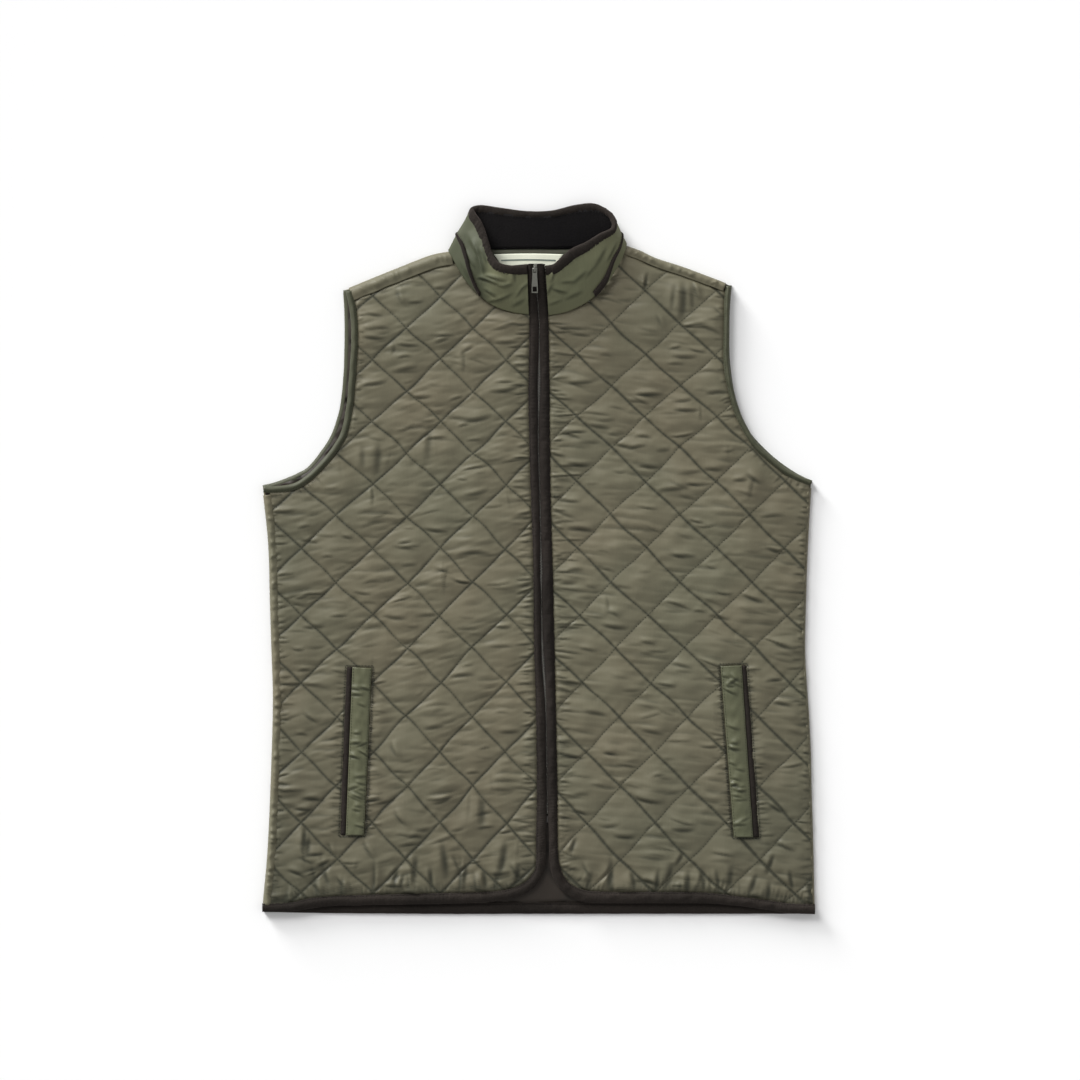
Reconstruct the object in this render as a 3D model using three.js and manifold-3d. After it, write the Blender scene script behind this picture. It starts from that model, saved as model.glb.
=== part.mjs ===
// A men's quilted vest laid flat on its back, front up. Millimetres: +X to the viewer's right,
// +Y towards the collar, +Z up from the surface that it lies on. The origin is on that surface,
// under the middle of the vest.
import * as THREE from "three";
import { mergeVertices } from "three/addons/utils/BufferGeometryUtils.js";
import Module from "manifold-3d";

// Cloth and padding.
const SEAM_GAP = 0.3;
const NECK_CLEARANCE = 1.5;
const CORNER_CLEARANCE = { neck: 8, side: 10 };
const BACK_EDGE_THICKNESS = 4.6;
const BACK_LOFT = 2.4;
const LOFT_RUN = { rim: 10, side: 110, end: 90 };
const STITCHED_THICKNESS = 2.6;
const PUFF_HEIGHT = 5.4;
const PUFF_FADE = 15;
const PUFF_AT_EDGE = 0.3;
const PUFF_ROUNDNESS = 0.75;
const NECK_LIFT = 4.5;
const NECK_LIFT_RADIUS = 55;

// Laid-out size.
const HALF_WIDTH = 290;
const HEM_Y = -373;
const SHOULDER_Y = 330;
const NECK_FRONT_Y = 262;

// Cutting shapes reach from below the floor to above the vest, and past its edges.
const BELOW = -5;
const SKY = 90;
const CUT_REACH = 20;
const COVER = { x: 330, top: 350, bottom: -390, columns: 22, rows: 26 };

// Trims.
// An edge share is a strip's height at its edges over its height in the middle.
const EDGE_SHARE = { binding: 0.6, welt: 0.7, flat: 0.8 };
const BINDING_HEIGHT = 5.6;
const ARMHOLE_BINDING_WIDTH = { left: 6.5, right: 5.5 };
const ARMHOLE_BINDING_HEIGHT = 5;
const BACK_BINDING_WIDTH = 7;
const ROLL = { edgeShare: 0.3, from: 0.1, to: 0.62 };
const SIDE_ROLL_WIDTH = 9.5;
const SIDE_ROLL_HEIGHT = 9;
const SHOULDER_WRAP_WIDTH = { left: 13, right: 8 };
const SHOULDER_WRAP_HEIGHT = 10;
const WELT_HEIGHT = 6;
const WELT_EDGE_HEIGHT = 4.4;
const WELT_STEPS = 8;
const COLLAR_HEIGHT = 57;
const COLLAR_SEAM_GAP = 0.9;
const COLLAR_SHELL = 2.3;
const COLLAR_LINING = 1.9;
const COLLAR_BULGE = 2.5;
const COLLAR_BINDING_FROM = 0.84;
const COLLAR_BINDING_OUT = 3.1;
const COLLAR_BINDING_IN = 2.3;
const PIPING_WIDTH = 3.4;
const PIPING_PROUD = 3.4;
const FACING_THICKNESS = 1.1;
const LABEL_THICKNESS = 0.9;

// Zip.
const CHAIN_WIDTH = 6;
const CHAIN_THICKNESS = 2;
const ZIP_SLOPE = THREE.MathUtils.degToRad(23.5);
const HINGE = { x: -3.9, y: 302.5, z: 38.6 };
const SLIDER = { width: 5.4, length: 9, height: 1.8, bottom: -4 };
const ARCH = { width: 2, leg: 1, halfLength: 2.2, top: 2.3 };
const ZIP_BOX = { width: 6, length: 7, height: 2 };
const ZIP_END_Y = -270;
const OVER_CHAIN_FROM = 0.4;
const TAB_LENGTH = 27;
const TAB_WIDTH = 6.6;
const TAB_THICKNESS = 1.6;
const TAB_SLOT = { width: 4, length: 5.6, fromEnd: 1.6 };
const TAB_PIN_RADIUS = 0.8;
const TAB_ARM_WIDTH = 1.1;
const TAB_PLATE_FROM = 4.1;

// A table with named columns: each row becomes an object.
function table(columns, rows) {
  const names = columns.split(" ");
  return rows.map((row) => Object.fromEntries(names.map((name, i) => [name, row[i]])));
}

// Outlines of the laid-out pieces. Each table runs from the first row to the last along an edge.
const SIDE = {
  left: table("x y", [
    [-289, 66], [-285, 30], [-283, 0], [-282, -44], [-280.6, -90], [-279, -134], [-279, -163],
    [-280, -202], [-281.4, -241], [-283, -280], [-285.4, -319], [-288.5, -352], [-289.4, -361],
  ]),
  right: table("x y", [
    [286.5, 74], [284.4, 40], [282.4, 0], [281, -44], [280, -95], [282, -134], [284, -163],
    [286, -202], [286.8, -241], [288, -280], [289, -319], [289.6, -350], [290, -361.6],
  ]),
};
const SHOULDER = {
  left: table("x y", [[-199, 284], [-176, 293.5], [-145, 306], [-114, 318], [-91.5, 322.6]]),
  right: table("x y", [[197, 289], [176, 297], [149, 307], [124, 315], [107, 323], [89, 329.4]]),
};
const ARMHOLE_FRONT = {
  left: table("x y", [
    [-195.5, 281], [-190.5, 252], [-190, 223], [-192, 192], [-195, 159], [-201, 131], [-211, 113],
    [-223, 98], [-240, 81.5], [-255, 72.5], [-274, 69.5], [-288.6, 69.6],
  ]),
  right: table("x y", [
    [196.5, 286], [195, 262], [194.6, 205], [199, 178], [204, 159], [211, 141], [225, 118],
    [244, 100], [263, 86], [285.4, 76.6],
  ]),
};
const ARMHOLE_BACK = {
  left: table("x y", [
    [-205, 281.5], [-203.6, 249], [-204, 207], [-206.5, 172], [-211, 148], [-218, 129],
    [-226.5, 115], [-241, 97], [-254, 89], [-275, 80.5], [-289.6, 77],
  ]),
  right: table("x y", [
    [203, 286.5], [201, 262], [200.6, 216], [203.6, 186], [209.5, 157], [221, 134], [238, 114.6],
    [256, 99.4], [272, 89], [286.6, 81.6],
  ]),
};
const NECK_SEAM = {
  left: table("x y", [
    [-92.4, 322], [-83, 302], [-74, 288], [-62, 276], [-48, 265.4], [-31, 258.6], [-9.5, 255.4],
  ]),
  right: table("x y", [
    [90, 329.4], [87.6, 318], [80, 302], [71, 286.6], [60, 275.6], [46, 265.4], [28, 257.6],
    [10, 254.2],
  ]),
};
const BACK_NECK = table("x y", [[-87, 321.4], [-80, 322.8], [-45, 322.8], [45, 323.8], [76, 324.8], [84, 327]]);
// Front edge binding from the top of the collar down the zip, round the corner and along the hem:
// the edge that meets the quilted panel, and the free edge.
const FRONT_BINDING = {
  left: table("panelX panelY freeX freeY", [
    [-11.6, 303.6, -3.8, 303.6], [-11, 285, -2.6, 285], [-9.7, 262, -0.8, 262], [-9, 246, 0.2, 246],
    [-9.4, 205, 0.2, 205], [-10, 171, 0, 171], [-9, 122, -0.7, 122], [-7, 57, 1.2, 57],
    [-5, -2, 2.2, -2], [-4, -88, 3.4, -88], [-2.2, -152, 7, -152], [-1.2, -216, 8.2, -216],
    [-1.2, -262, 8.6, -262], [-2, -290, 8, -288], [-2.2, -321, 7.6, -318], [-7, -333, 1.8, -337],
    [-17, -342, -10, -349.6], [-36, -348.4, -31, -357.6], [-66, -350.6, -64, -361],
    [-106, -351.6, -106, -362.4], [-165, -353, -165, -363.4], [-214, -354.4, -214, -364.4],
    [-240, -357, -240, -367.2], [-260, -361.4, -260, -370.4], [-289.6, -362.6, -289.6, -370.6],
  ]),
  right: table("panelX panelY freeX freeY", [
    [6.2, 303.6, -3, 303.6], [7.5, 285, -1.8, 285], [9.4, 262, 0.2, 262], [10, 246, 1.2, 246],
    [10.6, 205, 1.2, 205], [11, 171, 1, 171], [11.3, 122, 0.3, 122], [12.2, 57, 2.2, 57],
    [14, -2, 3.2, -2], [16, -88, 4.4, -88], [17.4, -152, 8, -152], [18.8, -216, 9.2, -216],
    [19.3, -262, 9.6, -262], [19.4, -290, 10.8, -288], [20.4, -315, 12.2, -322],
    [25, -331.6, 17.6, -338.6], [34, -342.4, 28.4, -352], [50, -348.6, 46, -360],
    [78, -350.2, 76, -361.4], [120, -350.2, 120, -361.4], [172, -350.8, 172, -361.6],
    [206, -354.4, 206, -364], [240, -359, 240, -368.6], [264, -362.4, 264, -372],
    [290, -363, 290, -373],
  ]),
};
const BACK_HEM = table("x top bottom", [
  [-288.6, -362.4, -371], [-240, -362.4, -372], [-120, -362.4, -373], [0, -362.4, -373],
  [120, -362.4, -373], [240, -362.6, -373], [289, -362.8, -373],
]);

// Quilting: the stitch lines cross on a lattice of columns and rows. Row 0 is the first below the
// left shoulder, and every other crossing of a column is left out, which gives diamonds.
const QUILT_COLUMNS = {
  left: [0, -34, -69, -103, -138, -174, -212, -249, -286, -323],
  right: [5, 40, 76, 112, 148, 186, 222, 258, 294, 330],
};
const QUILT_ROWS = {
  left: [242, 209, 176, 144, 111, 78, 45, 11, -25, -59, -94, -130, -166, -203, -239, -277, -316, -351, -388],
  right: [247, 213, 181, 149, 116, 81, 46, 11, -25, -59, -94, -130, -166, -203, -239, -277, -316, -351, -388],
};
const QUILT_SHIFT = { left: 0, right: 10, from: 20, to: -240 };
const QUILT_RANGE = { pFrom: -3, pTo: 14, qFrom: -10, qTo: 7 };
const STEPS_PER_DIAMOND = 3;

// Folds in the laid cloth: a soft ridge at (x, y), its heading in degrees, its half length and
// half width, and its height.
const FOLDS = table("x y heading length width height", [
  [60, 205, 72, 70, 22, 2.4], [118, 262, 100, 38, 16, 2.2], [-150, 236, 12, 60, 18, 1.8],
  [-60, 60, 80, 120, 30, 1.6], [90, -60, 86, 120, 34, 1.8], [-120, -210, 84, 110, 30, 1.6],
  [120, -250, 96, 90, 30, 1.6], [-210, 60, 100, 50, 16, 2], [215, 60, 78, 50, 18, 2],
]);

const POCKET = {
  left: {
    welt: table("x y", [[-195, -114], [-175, -115], [-183, -290], [-202, -290]]),
    edge: table("x y", [[-200.4, -114], [-195.3, -114], [-202.3, -290], [-207.4, -290]]),
  },
  right: {
    welt: table("x y", [[191, -113], [213, -112], [225, -292], [205, -292]]),
    edge: table("x y", [[213.3, -112], [217.4, -112], [231, -292], [225.3, -292]]),
  },
};

// Collar sections from the zip's left side round the back of the neck to its right side: a point
// on the neck seam, the point on the top edge, and how far up the piping runs there.
const COLLAR = table("baseX baseY baseZ topX topY topZ piping", [
  [-10, 256.4, 12.6, -12, 307.6, 35.5, 0],
  [-27, 258.8, 12.6, -31, 306.4, 36, 0],
  [-48, 266.4, 12.6, -42, 310, 34.5, 0],
  [-62, 277, 12.4, -48.5, 319, 31, 0.05],
  [-74, 289, 12, -51.5, 329, 28, 0.22],
  [-83, 302.6, 11.4, -55, 341, 24, 0.32],
  [-88.6, 313, 9.6, -60.4, 354, 19, 0.36],
  [-92.6, 322.6, 6.6, -68, 367, 12, 0.37],
  [-82, 324.4, 4.2, -62, 370.6, 7, 0.37],
  [-45, 324.4, 4, -40, 368, 7, 0.37],
  [-15, 325, 4, -12, 364.4, 8, 0.37],
  [15, 325, 4, 14, 365, 9, 0.37],
  [45, 325.4, 4, 40, 371, 10.5, 0.36],
  [74, 326.4, 4.6, 60, 371.6, 13, 0.34],
  [90, 330.4, 7.4, 76, 359, 19, 0.3],
  [87.6, 318, 10.4, 77, 347, 24, 0.26],
  [80, 302.6, 11.8, 64, 340, 27.5, 0.2],
  [71, 287.6, 12.4, 49.6, 331, 31, 0.1],
  [60, 276.6, 12.6, 34.6, 324, 34, 0.05],
  [46, 266.6, 12.6, 24, 315, 35, 0],
  [28, 258.8, 12.6, 15, 307.4, 35.6, 0],
  [10.4, 255.4, 12.6, 7, 306, 35.5, 0],
]);
const COLLAR_PIPED = { from: 3, to: 18 };
const COLLAR_STAND = { from: 4, to: 17 };
const STEPS_PER_SECTION = 3;

const wasm = await Module();
wasm.setup();

const smooth = (value, from, to) => {
  const t = THREE.MathUtils.clamp((value - from) / (to - from), 0, 1);
  return t * t * (3 - 2 * t);
};
const mix = (a, b, t) => a + (b - a) * t;
const snap = (value) => Math.round(value * 1e5) / 1e5;

// Reads a list at a fractional place, and runs on straight past its ends.
function along(list, place) {
  const last = list.length - 2;
  const i = THREE.MathUtils.clamp(Math.floor(place), 0, last);
  return mix(list[i], list[i + 1], place - i);
}

// A geometry as a manifold-3d solid with its faces pointing out.
function solidOf(geometry) {
  const bare = geometry.clone();
  bare.deleteAttribute("normal");
  bare.deleteAttribute("uv");
  const merged = mergeVertices(bare, 1e-4);
  const triVerts = new Uint32Array(merged.index.array);
  const vertProperties = merged.getAttribute("position").array;
  const solid = new wasm.Manifold(new wasm.Mesh({ numProp: 3, vertProperties, triVerts }));
  if (solid.volume() > 0) return solid;
  for (let i = 0; i < triVerts.length; i += 3) {
    [triVerts[i + 1], triVerts[i + 2]] = [triVerts[i + 2], triVerts[i + 1]];
  }
  return new wasm.Manifold(new wasm.Mesh({ numProp: 3, vertProperties, triVerts }));
}

// A block of length x breadth x one layer, each of whose points place(u, v, w) puts in space.
function slab(lengthSteps, breadthSteps, place) {
  const geometry = new THREE.BoxGeometry(1, 1, 1, lengthSteps, breadthSteps, 1);
  const points = geometry.getAttribute("position");
  for (let i = 0; i < points.count; i++) {
    const [u, v, w] = [points.getX(i), points.getY(i), points.getZ(i)].map((t) => snap(t + 0.5));
    const spot = place(u, v, w);
    points.setXYZ(i, spot.x, spot.y, spot.z);
  }
  return solidOf(geometry);
}

// Two columns of a table as a smooth curve, and as an edge of evenly spaced points.
const splineOf = (rows, xName, yName) =>
  new THREE.SplineCurve(rows.map((row) => new THREE.Vector2(row[xName], row[yName])));
const edge = (rows, steps, xName = "x", yName = "y") =>
  splineOf(rows, xName, yName).getSpacedPoints(steps);

// An edge moved sideways: a positive distance moves it to the left of its own direction.
function shifted(points, distance) {
  return points.map((point, i) => {
    const before = points[Math.max(i - 1, 0)];
    const after = points[Math.min(i + 1, points.length - 1)];
    const heading = after.clone().sub(before).normalize();
    return new THREE.Vector2(point.x - heading.y * distance, point.y + heading.x * distance);
  });
}

// An upright prism over an outline.
function prism(points, from, to) {
  const geometry = new THREE.ExtrudeGeometry(new THREE.Shape(points), {
    depth: to - from,
    bevelEnabled: false,
  });
  return solidOf(geometry.translate(0, 0, from));
}

// A strip between two edges with as many points each, with its own floor and top.
function band(nearEdge, farEdge, breadthSteps, floor, top) {
  const last = nearEdge.length - 1;
  return slab(last, breadthSteps, (u, v, w) => {
    const i = Math.round(u * last);
    const x = mix(nearEdge[i].x, farEdge[i].x, v);
    const y = mix(nearEdge[i].y, farEdge[i].y, v);
    return { x, y, z: w > 0.5 ? top(x, y, v) : floor(x, y, v) };
  });
}

// A domed strip's height over its floor: full in the middle, lower at both edges.
const domed = (height, v, edgeShare) =>
  height * mix(edgeShare, 1, Math.sin(Math.PI * v) ** PUFF_ROUNDNESS);

// The plain inside of the back, and of the fronts that lie on it.
function backTop(x, y) {
  const across = 1 - smooth(Math.abs(x), HALF_WIDTH - LOFT_RUN.side, HALF_WIDTH - LOFT_RUN.rim);
  const fromHem = smooth(y, HEM_Y + LOFT_RUN.rim, HEM_Y + LOFT_RUN.end);
  const fromShoulder = 1 - smooth(y, SHOULDER_Y - LOFT_RUN.end, SHOULDER_Y - LOFT_RUN.rim);
  return BACK_EDGE_THICKNESS + BACK_LOFT * across * fromHem * fromShoulder;
}

function foldHeight(x, y) {
  let height = 0;
  for (const fold of FOLDS) {
    const heading = THREE.MathUtils.degToRad(fold.heading);
    const [dx, dy] = [x - fold.x, y - fold.y];
    const lengthwise = (dx * Math.cos(heading) + dy * Math.sin(heading)) / fold.length;
    const sideways = (dy * Math.cos(heading) - dx * Math.sin(heading)) / fold.width;
    height += fold.height * Math.exp(-(lengthwise ** 2) - sideways ** 2);
  }
  return height;
}

function frontInside(x, y) {
  const neck = Math.hypot(x, Math.min(y - NECK_FRONT_Y, 0)) / NECK_LIFT_RADIUS;
  const lift = NECK_LIFT * Math.exp(-(neck ** 2));
  return backTop(x, y) + SEAM_GAP + lift + foldHeight(x, y);
}

// Under the zip the floor leaves the body at the neck seam and climbs inside the collar.
const ZIP_CLIMB = { from: 246, to: NECK_FRONT_Y, foot: 14.2 };
function zipFloor(x, y) {
  const climbing = ZIP_CLIMB.foot + (y - ZIP_CLIMB.to) * Math.tan(ZIP_SLOPE);
  return mix(frontInside(x, y), climbing, smooth(y, ZIP_CLIMB.from, ZIP_CLIMB.to));
}

// A layer that fills all above, or all below, a surface over the whole vest.
function filledTo(surface, above) {
  return slab(COVER.columns, COVER.rows, (u, v, w) => {
    const x = mix(-COVER.x, COVER.x, u);
    const y = mix(COVER.bottom, COVER.top, v);
    const far = above ? w > 0.5 : w < 0.5;
    return { x, y, z: far ? (above ? SKY : BELOW) : surface(x, y) };
  });
}

function distanceTo(outline, x, y) {
  let nearest = Infinity;
  outline.forEach((a, i) => {
    const b = outline[(i + 1) % outline.length];
    const [ex, ey] = [b.x - a.x, b.y - a.y];
    const share = ((x - a.x) * ex + (y - a.y) * ey) / (ex * ex + ey * ey || 1);
    const t = THREE.MathUtils.clamp(share, 0, 1);
    nearest = Math.min(nearest, Math.hypot(x - a.x - ex * t, y - a.y - ey * t));
  });
  return nearest;
}

// Sampled edges that neighbouring pieces share.
const SIGN = { left: 1, right: -1 };
const sideEdge = {};
const sideSeam = {};
const shoulderEdge = {};
const shoulderSeam = {};
const armholeSeam = {};
const armholeFree = {};
const neckSeam = {};
const bindingPanel = {};
const bindingFree = {};
for (const side of ["left", "right"]) {
  sideEdge[side] = edge(SIDE[side], 16);
  sideSeam[side] = shifted(sideEdge[side], SIGN[side] * SIDE_ROLL_WIDTH);
  shoulderEdge[side] = edge(SHOULDER[side], 8);
  shoulderSeam[side] = shifted(shoulderEdge[side], -SIGN[side] * SHOULDER_WRAP_WIDTH[side]);
  armholeSeam[side] = edge(ARMHOLE_FRONT[side], 20);
  armholeFree[side] = shifted(armholeSeam[side], -SIGN[side] * ARMHOLE_BINDING_WIDTH[side]);
  neckSeam[side] = edge(NECK_SEAM[side], 12);
  // The two edges of the front binding keep their rows side by side.
  const rows = FRONT_BINDING[side];
  bindingPanel[side] = splineOf(rows, "panelX", "panelY").getPoints((rows.length - 1) * 2);
  bindingFree[side] = splineOf(rows, "freeX", "freeY").getPoints((rows.length - 1) * 2);
}

const FABRIC = { roughness: 0.8, metalness: 0 };
const finish = (color, options = FABRIC) => new THREE.MeshStandardMaterial({ color, ...options });
const SHELL = 0x6e6858;
const OLIVE = 0x585a40;
const WELT = 0x70765a;
const DARK_BROWN = 0x2e2622;
const CORDUROY = 0x1b191a;
const ARMHOLE_OLIVE = 0x484c34;
const OFF_WHITE = 0xd7dcc3;
const NICKEL = { roughness: 0.35, metalness: 0.9 };

const vest = new THREE.Group();

function addPiece(name, solid, material, group = vest) {
  const made = solid.getMesh();
  const points = new Float32Array(made.numVert * 3);
  for (let i = 0; i < made.numVert; i++) {
    points.set(made.vertProperties.subarray(i * made.numProp, i * made.numProp + 3), i * 3);
  }
  const geometry = new THREE.BufferGeometry();
  geometry.setAttribute("position", new THREE.BufferAttribute(points, 3));
  geometry.setIndex(new THREE.BufferAttribute(made.triVerts, 1));
  geometry.computeVertexNormals();
  const mesh = new THREE.Mesh(geometry, material);
  mesh.name = name;
  group.add(mesh);
}

// The outline of one quilted front inside its seams and bindings.
function frontOutline(side) {
  const turn = SIGN[side];
  const armhole = shifted(armholeSeam[side], (turn * SEAM_GAP) / 2);
  const sideLine = shifted(sideSeam[side], (turn * SEAM_GAP) / 2);
  const edgeRows = bindingPanel[side];
  const first = edgeRows.findIndex((point) => point.y < NECK_FRONT_Y - CORNER_CLEARANCE.neck);
  const last = edgeRows.findLastIndex(
    (point) => Math.abs(point.x) < HALF_WIDTH - CORNER_CLEARANCE.side,
  );
  const trimmed = edgeRows.slice(first, last + 1);
  const hemAndPlacket = shifted(trimmed, (-turn * SEAM_GAP) / 2).reverse();
  const neck = shifted(neckSeam[side], -turn * NECK_CLEARANCE).reverse();
  return [...neck, ...armhole.slice(0, -1), ...sideLine.slice(1, -1), ...hemAndPlacket];
}

// The outer face of a quilted front over its lattice: puffs between the lines of stitching.
function quiltedFace(side, outline) {
  const { pFrom, pTo, qFrom, qTo } = QUILT_RANGE;
  const pocket = POCKET[side].welt;
  const swell = (t) => Math.abs(Math.sin(Math.PI * t)) ** PUFF_ROUNDNESS;
  return slab((pTo - pFrom) * STEPS_PER_DIAMOND, (qTo - qFrom) * STEPS_PER_DIAMOND, (u, v, w) => {
    const p = mix(pFrom, pTo, u);
    const q = mix(qFrom, qTo, v);
    const y = along(QUILT_ROWS[side], p - q);
    const shift = QUILT_SHIFT[side] * (1 - smooth(y, QUILT_SHIFT.to, QUILT_SHIFT.from));
    const x = along(QUILT_COLUMNS[side], p + q) + shift;
    if (w < 0.5) return { x, y, z: BELOW };
    const inward = Math.min(distanceTo(outline, x, y), distanceTo(pocket, x, y)) / PUFF_FADE;
    const full = mix(PUFF_AT_EDGE, 1, smooth(inward, 0, 1));
    const puff = PUFF_HEIGHT * swell(p) * swell(q) * full;
    return { x, y, z: frontInside(x, y) + STITCHED_THICKNESS + puff };
  });
}

// The outline of the slot that a pocket's welt and lip are set into, a little larger than both.
function pocketOutline({ welt, edge: lip }, distance) {
  const rows = [...welt, ...lip];
  const middle = (rows[0].y + rows[2].y) / 2;
  const heights = rows.map((row) => row.y);
  const corners = (isTop) => {
    const reach = rows.filter((row) => row.y > middle === isTop).map((row) => row.x);
    const y = isTop ? Math.max(...heights) + distance : Math.min(...heights) - distance;
    return [
      new THREE.Vector2(Math.min(...reach) - distance, y),
      new THREE.Vector2(Math.max(...reach) + distance, y),
    ];
  };
  const [lowLeft, lowRight] = corners(false);
  const [topLeft, topRight] = corners(true);
  return [lowLeft, lowRight, topRight, topLeft];
}

// The slider sits on the chain at the top of the zip, in the slope of the collar. Its arch holds
// the pull tab's pin. Both are made about the hinge: X along the pin, Y up the slope, Z off it.
const block = (x, y, z, width, length, height) =>
  solidOf(new THREE.BoxGeometry(width, length, height).translate(x, y, z));
const slopeOf = (solid) => {
  const made = solid.getMesh();
  const geometry = new THREE.BufferGeometry();
  geometry.setAttribute("position", new THREE.BufferAttribute(made.vertProperties, 3));
  geometry.setIndex(new THREE.BufferAttribute(made.triVerts, 1));
  return solidOf(geometry.rotateX(ZIP_SLOPE).translate(HINGE.x, HINGE.y, HINGE.z).toNonIndexed());
};
const sliderRoom = slopeOf(
  block(0, 0, SLIDER.bottom, SLIDER.width + 2 * SEAM_GAP, SLIDER.length + 2 * SEAM_GAP, 12),
);

const aboveBack = filledTo(frontInside, true);
for (const side of ["left", "right"]) {
  const outline = frontOutline(side);
  const { welt, edge: lip } = POCKET[side];
  const pocketHole = prism(pocketOutline(POCKET[side], SEAM_GAP), BELOW, SKY);
  const wrap = band(
    shifted(shoulderEdge[side], SIGN[side] * CUT_REACH),
    shifted(shoulderSeam[side], -SIGN[side] * SEAM_GAP),
    1,
    () => BELOW,
    () => SKY,
  );
  const roll = band(
    shifted(sideEdge[side], -SIGN[side] * CUT_REACH),
    shifted(sideSeam[side], SIGN[side] * SEAM_GAP),
    1,
    () => BELOW,
    () => SKY,
  );
  const front = quiltedFace(side, outline)
    .intersect(prism(outline, BELOW, SKY))
    .intersect(aboveBack)
    .subtract(wrap)
    .subtract(roll)
    .subtract(pocketHole);
  addPiece(`front_panel_${side}`, front, finish(SHELL));

  // The welt and the dark lip beside it are set into the panel's pocket opening.
  const placedOn = (corners, height) => {
    const [a, b, c, d] = corners.map((row) => new THREE.Vector2(row.x, row.y));
    const down = (from, to) =>
      Array.from({ length: WELT_STEPS + 1 }, (_, i) => from.clone().lerp(to, i / WELT_STEPS));
    return band(down(a, d), down(b, c), 3, frontInside, (x, y, v) =>
      frontInside(x, y) + domed(height, v, EDGE_SHARE.welt),
    );
  };
  addPiece(`pocket_welt_${side}`, placedOn(welt, WELT_HEIGHT), finish(WELT));
  addPiece(`pocket_lip_${side}`, placedOn(lip, WELT_EDGE_HEIGHT), finish(DARK_BROWN));

  // The binding of the front edge rides over the zip chain, so its floor steps up there.
  const overChain = (x, y, v) => {
    const byZip = y > ZIP_END_Y - ZIP_BOX.length && v > OVER_CHAIN_FROM;
    return zipFloor(x, y) + (byZip ? CHAIN_THICKNESS + SEAM_GAP : 0);
  };
  const bound = band(bindingPanel[side], bindingFree[side], 4, overChain, (x, y, v) =>
    zipFloor(x, y) + domed(BINDING_HEIGHT, v, EDGE_SHARE.binding),
  );
  addPiece(`front_binding_${side}`, bound.subtract(sliderRoom), finish(DARK_BROWN));

  const armholeBand = band(
    shifted(armholeSeam[side], (-SIGN[side] * SEAM_GAP) / 2),
    armholeFree[side],
    3,
    frontInside,
    (x, y, v) => frontInside(x, y) + domed(ARMHOLE_BINDING_HEIGHT, v, EDGE_SHARE.binding),
  );
  addPiece(`armhole_binding_front_${side}`, armholeBand, finish(ARMHOLE_OLIVE));
}

// The collar is one standing wall that lies open. collarPoint gives a point of its middle surface:
// place counts the table's sections and rise goes from the neck seam, 0, to the top edge, 1.
const collarLine = (name) =>
  new THREE.CatmullRomCurve3(
    COLLAR.map((row) => new THREE.Vector3(row[`${name}X`], row[`${name}Y`], row[`${name}Z`])),
    false,
    "centripetal",
  );
const COLLAR_LAST = COLLAR.length - 1;
const collarBase = collarLine("base");
const collarTop = collarLine("top");
const pipingRise = (place) => along(COLLAR.map((row) => row.piping), place);
const collarMiddle = (place, rise) =>
  collarBase.getPoint(place / COLLAR_LAST).lerp(collarTop.getPoint(place / COLLAR_LAST), rise);

function collarPoint(place, rise, outward) {
  const step = 0.02;
  const low = Math.max(place - step, 0);
  const high = Math.min(place + step, COLLAR_LAST);
  const around = collarMiddle(high, rise).sub(collarMiddle(low, rise));
  const upward = collarMiddle(place, 1).sub(collarMiddle(place, 0));
  const normal = upward.cross(around).normalize();
  const onFront = 1 - smooth(place, 4, 7) + smooth(place, 15, 18);
  const bulge = COLLAR_BULGE * onFront * Math.sin(Math.PI * THREE.MathUtils.clamp(rise, 0, 1));
  return collarMiddle(place, rise).addScaledVector(normal, outward + bulge);
}

function collarPiece({ from = 0, to = COLLAR_LAST, low, high, inner, outer, rises }) {
  return slab((to - from) * STEPS_PER_SECTION, rises, (u, v, w) => {
    const place = mix(from, to, u);
    return collarPoint(place, mix(low(place), high(place), v), w > 0.5 ? outer : inner);
  });
}
const seamShare = COLLAR_SEAM_GAP / COLLAR_HEIGHT;
const halfPiping = PIPING_WIDTH / 2 / COLLAR_HEIGHT;

// The back: padded cloth with a flat underside, wrapped over the shoulders and up the sides to the
// seams that it shares with the fronts.
const floorLevel = () => 0;
const flatDome = (x, y, v) => domed(BACK_EDGE_THICKNESS, v, EDGE_SHARE.flat);
const backOutline = [
  ...sideEdge.left.toReversed(),
  ...shifted(edge(ARMHOLE_BACK.left, 18), BACK_BINDING_WIDTH).toReversed(),
  ...shoulderEdge.left,
  ...BACK_NECK.map((row) => new THREE.Vector2(row.x, row.y)),
  ...shoulderEdge.right.toReversed(),
  ...shifted(edge(ARMHOLE_BACK.right, 18), -BACK_BINDING_WIDTH),
  ...sideEdge.right,
];
const rolled = (height) => (x, y, v) =>
  height * mix(ROLL.edgeShare, 1, Math.sin(Math.PI * mix(ROLL.from, ROLL.to, v)));
const wraps = ["left", "right"].flatMap((side) => [
  band(sideEdge[side], sideSeam[side], 4, floorLevel, rolled(SIDE_ROLL_HEIGHT)),
  band(shoulderEdge[side], shoulderSeam[side], 4, floorLevel, rolled(SHOULDER_WRAP_HEIGHT)),
]);
const belowBinding = () => COLLAR_BINDING_FROM - seamShare;
const lining = {
  low: () => 0,
  high: belowBinding,
  inner: -COLLAR_LINING,
  outer: -2 * SEAM_GAP,
  rises: 3,
};
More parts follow.
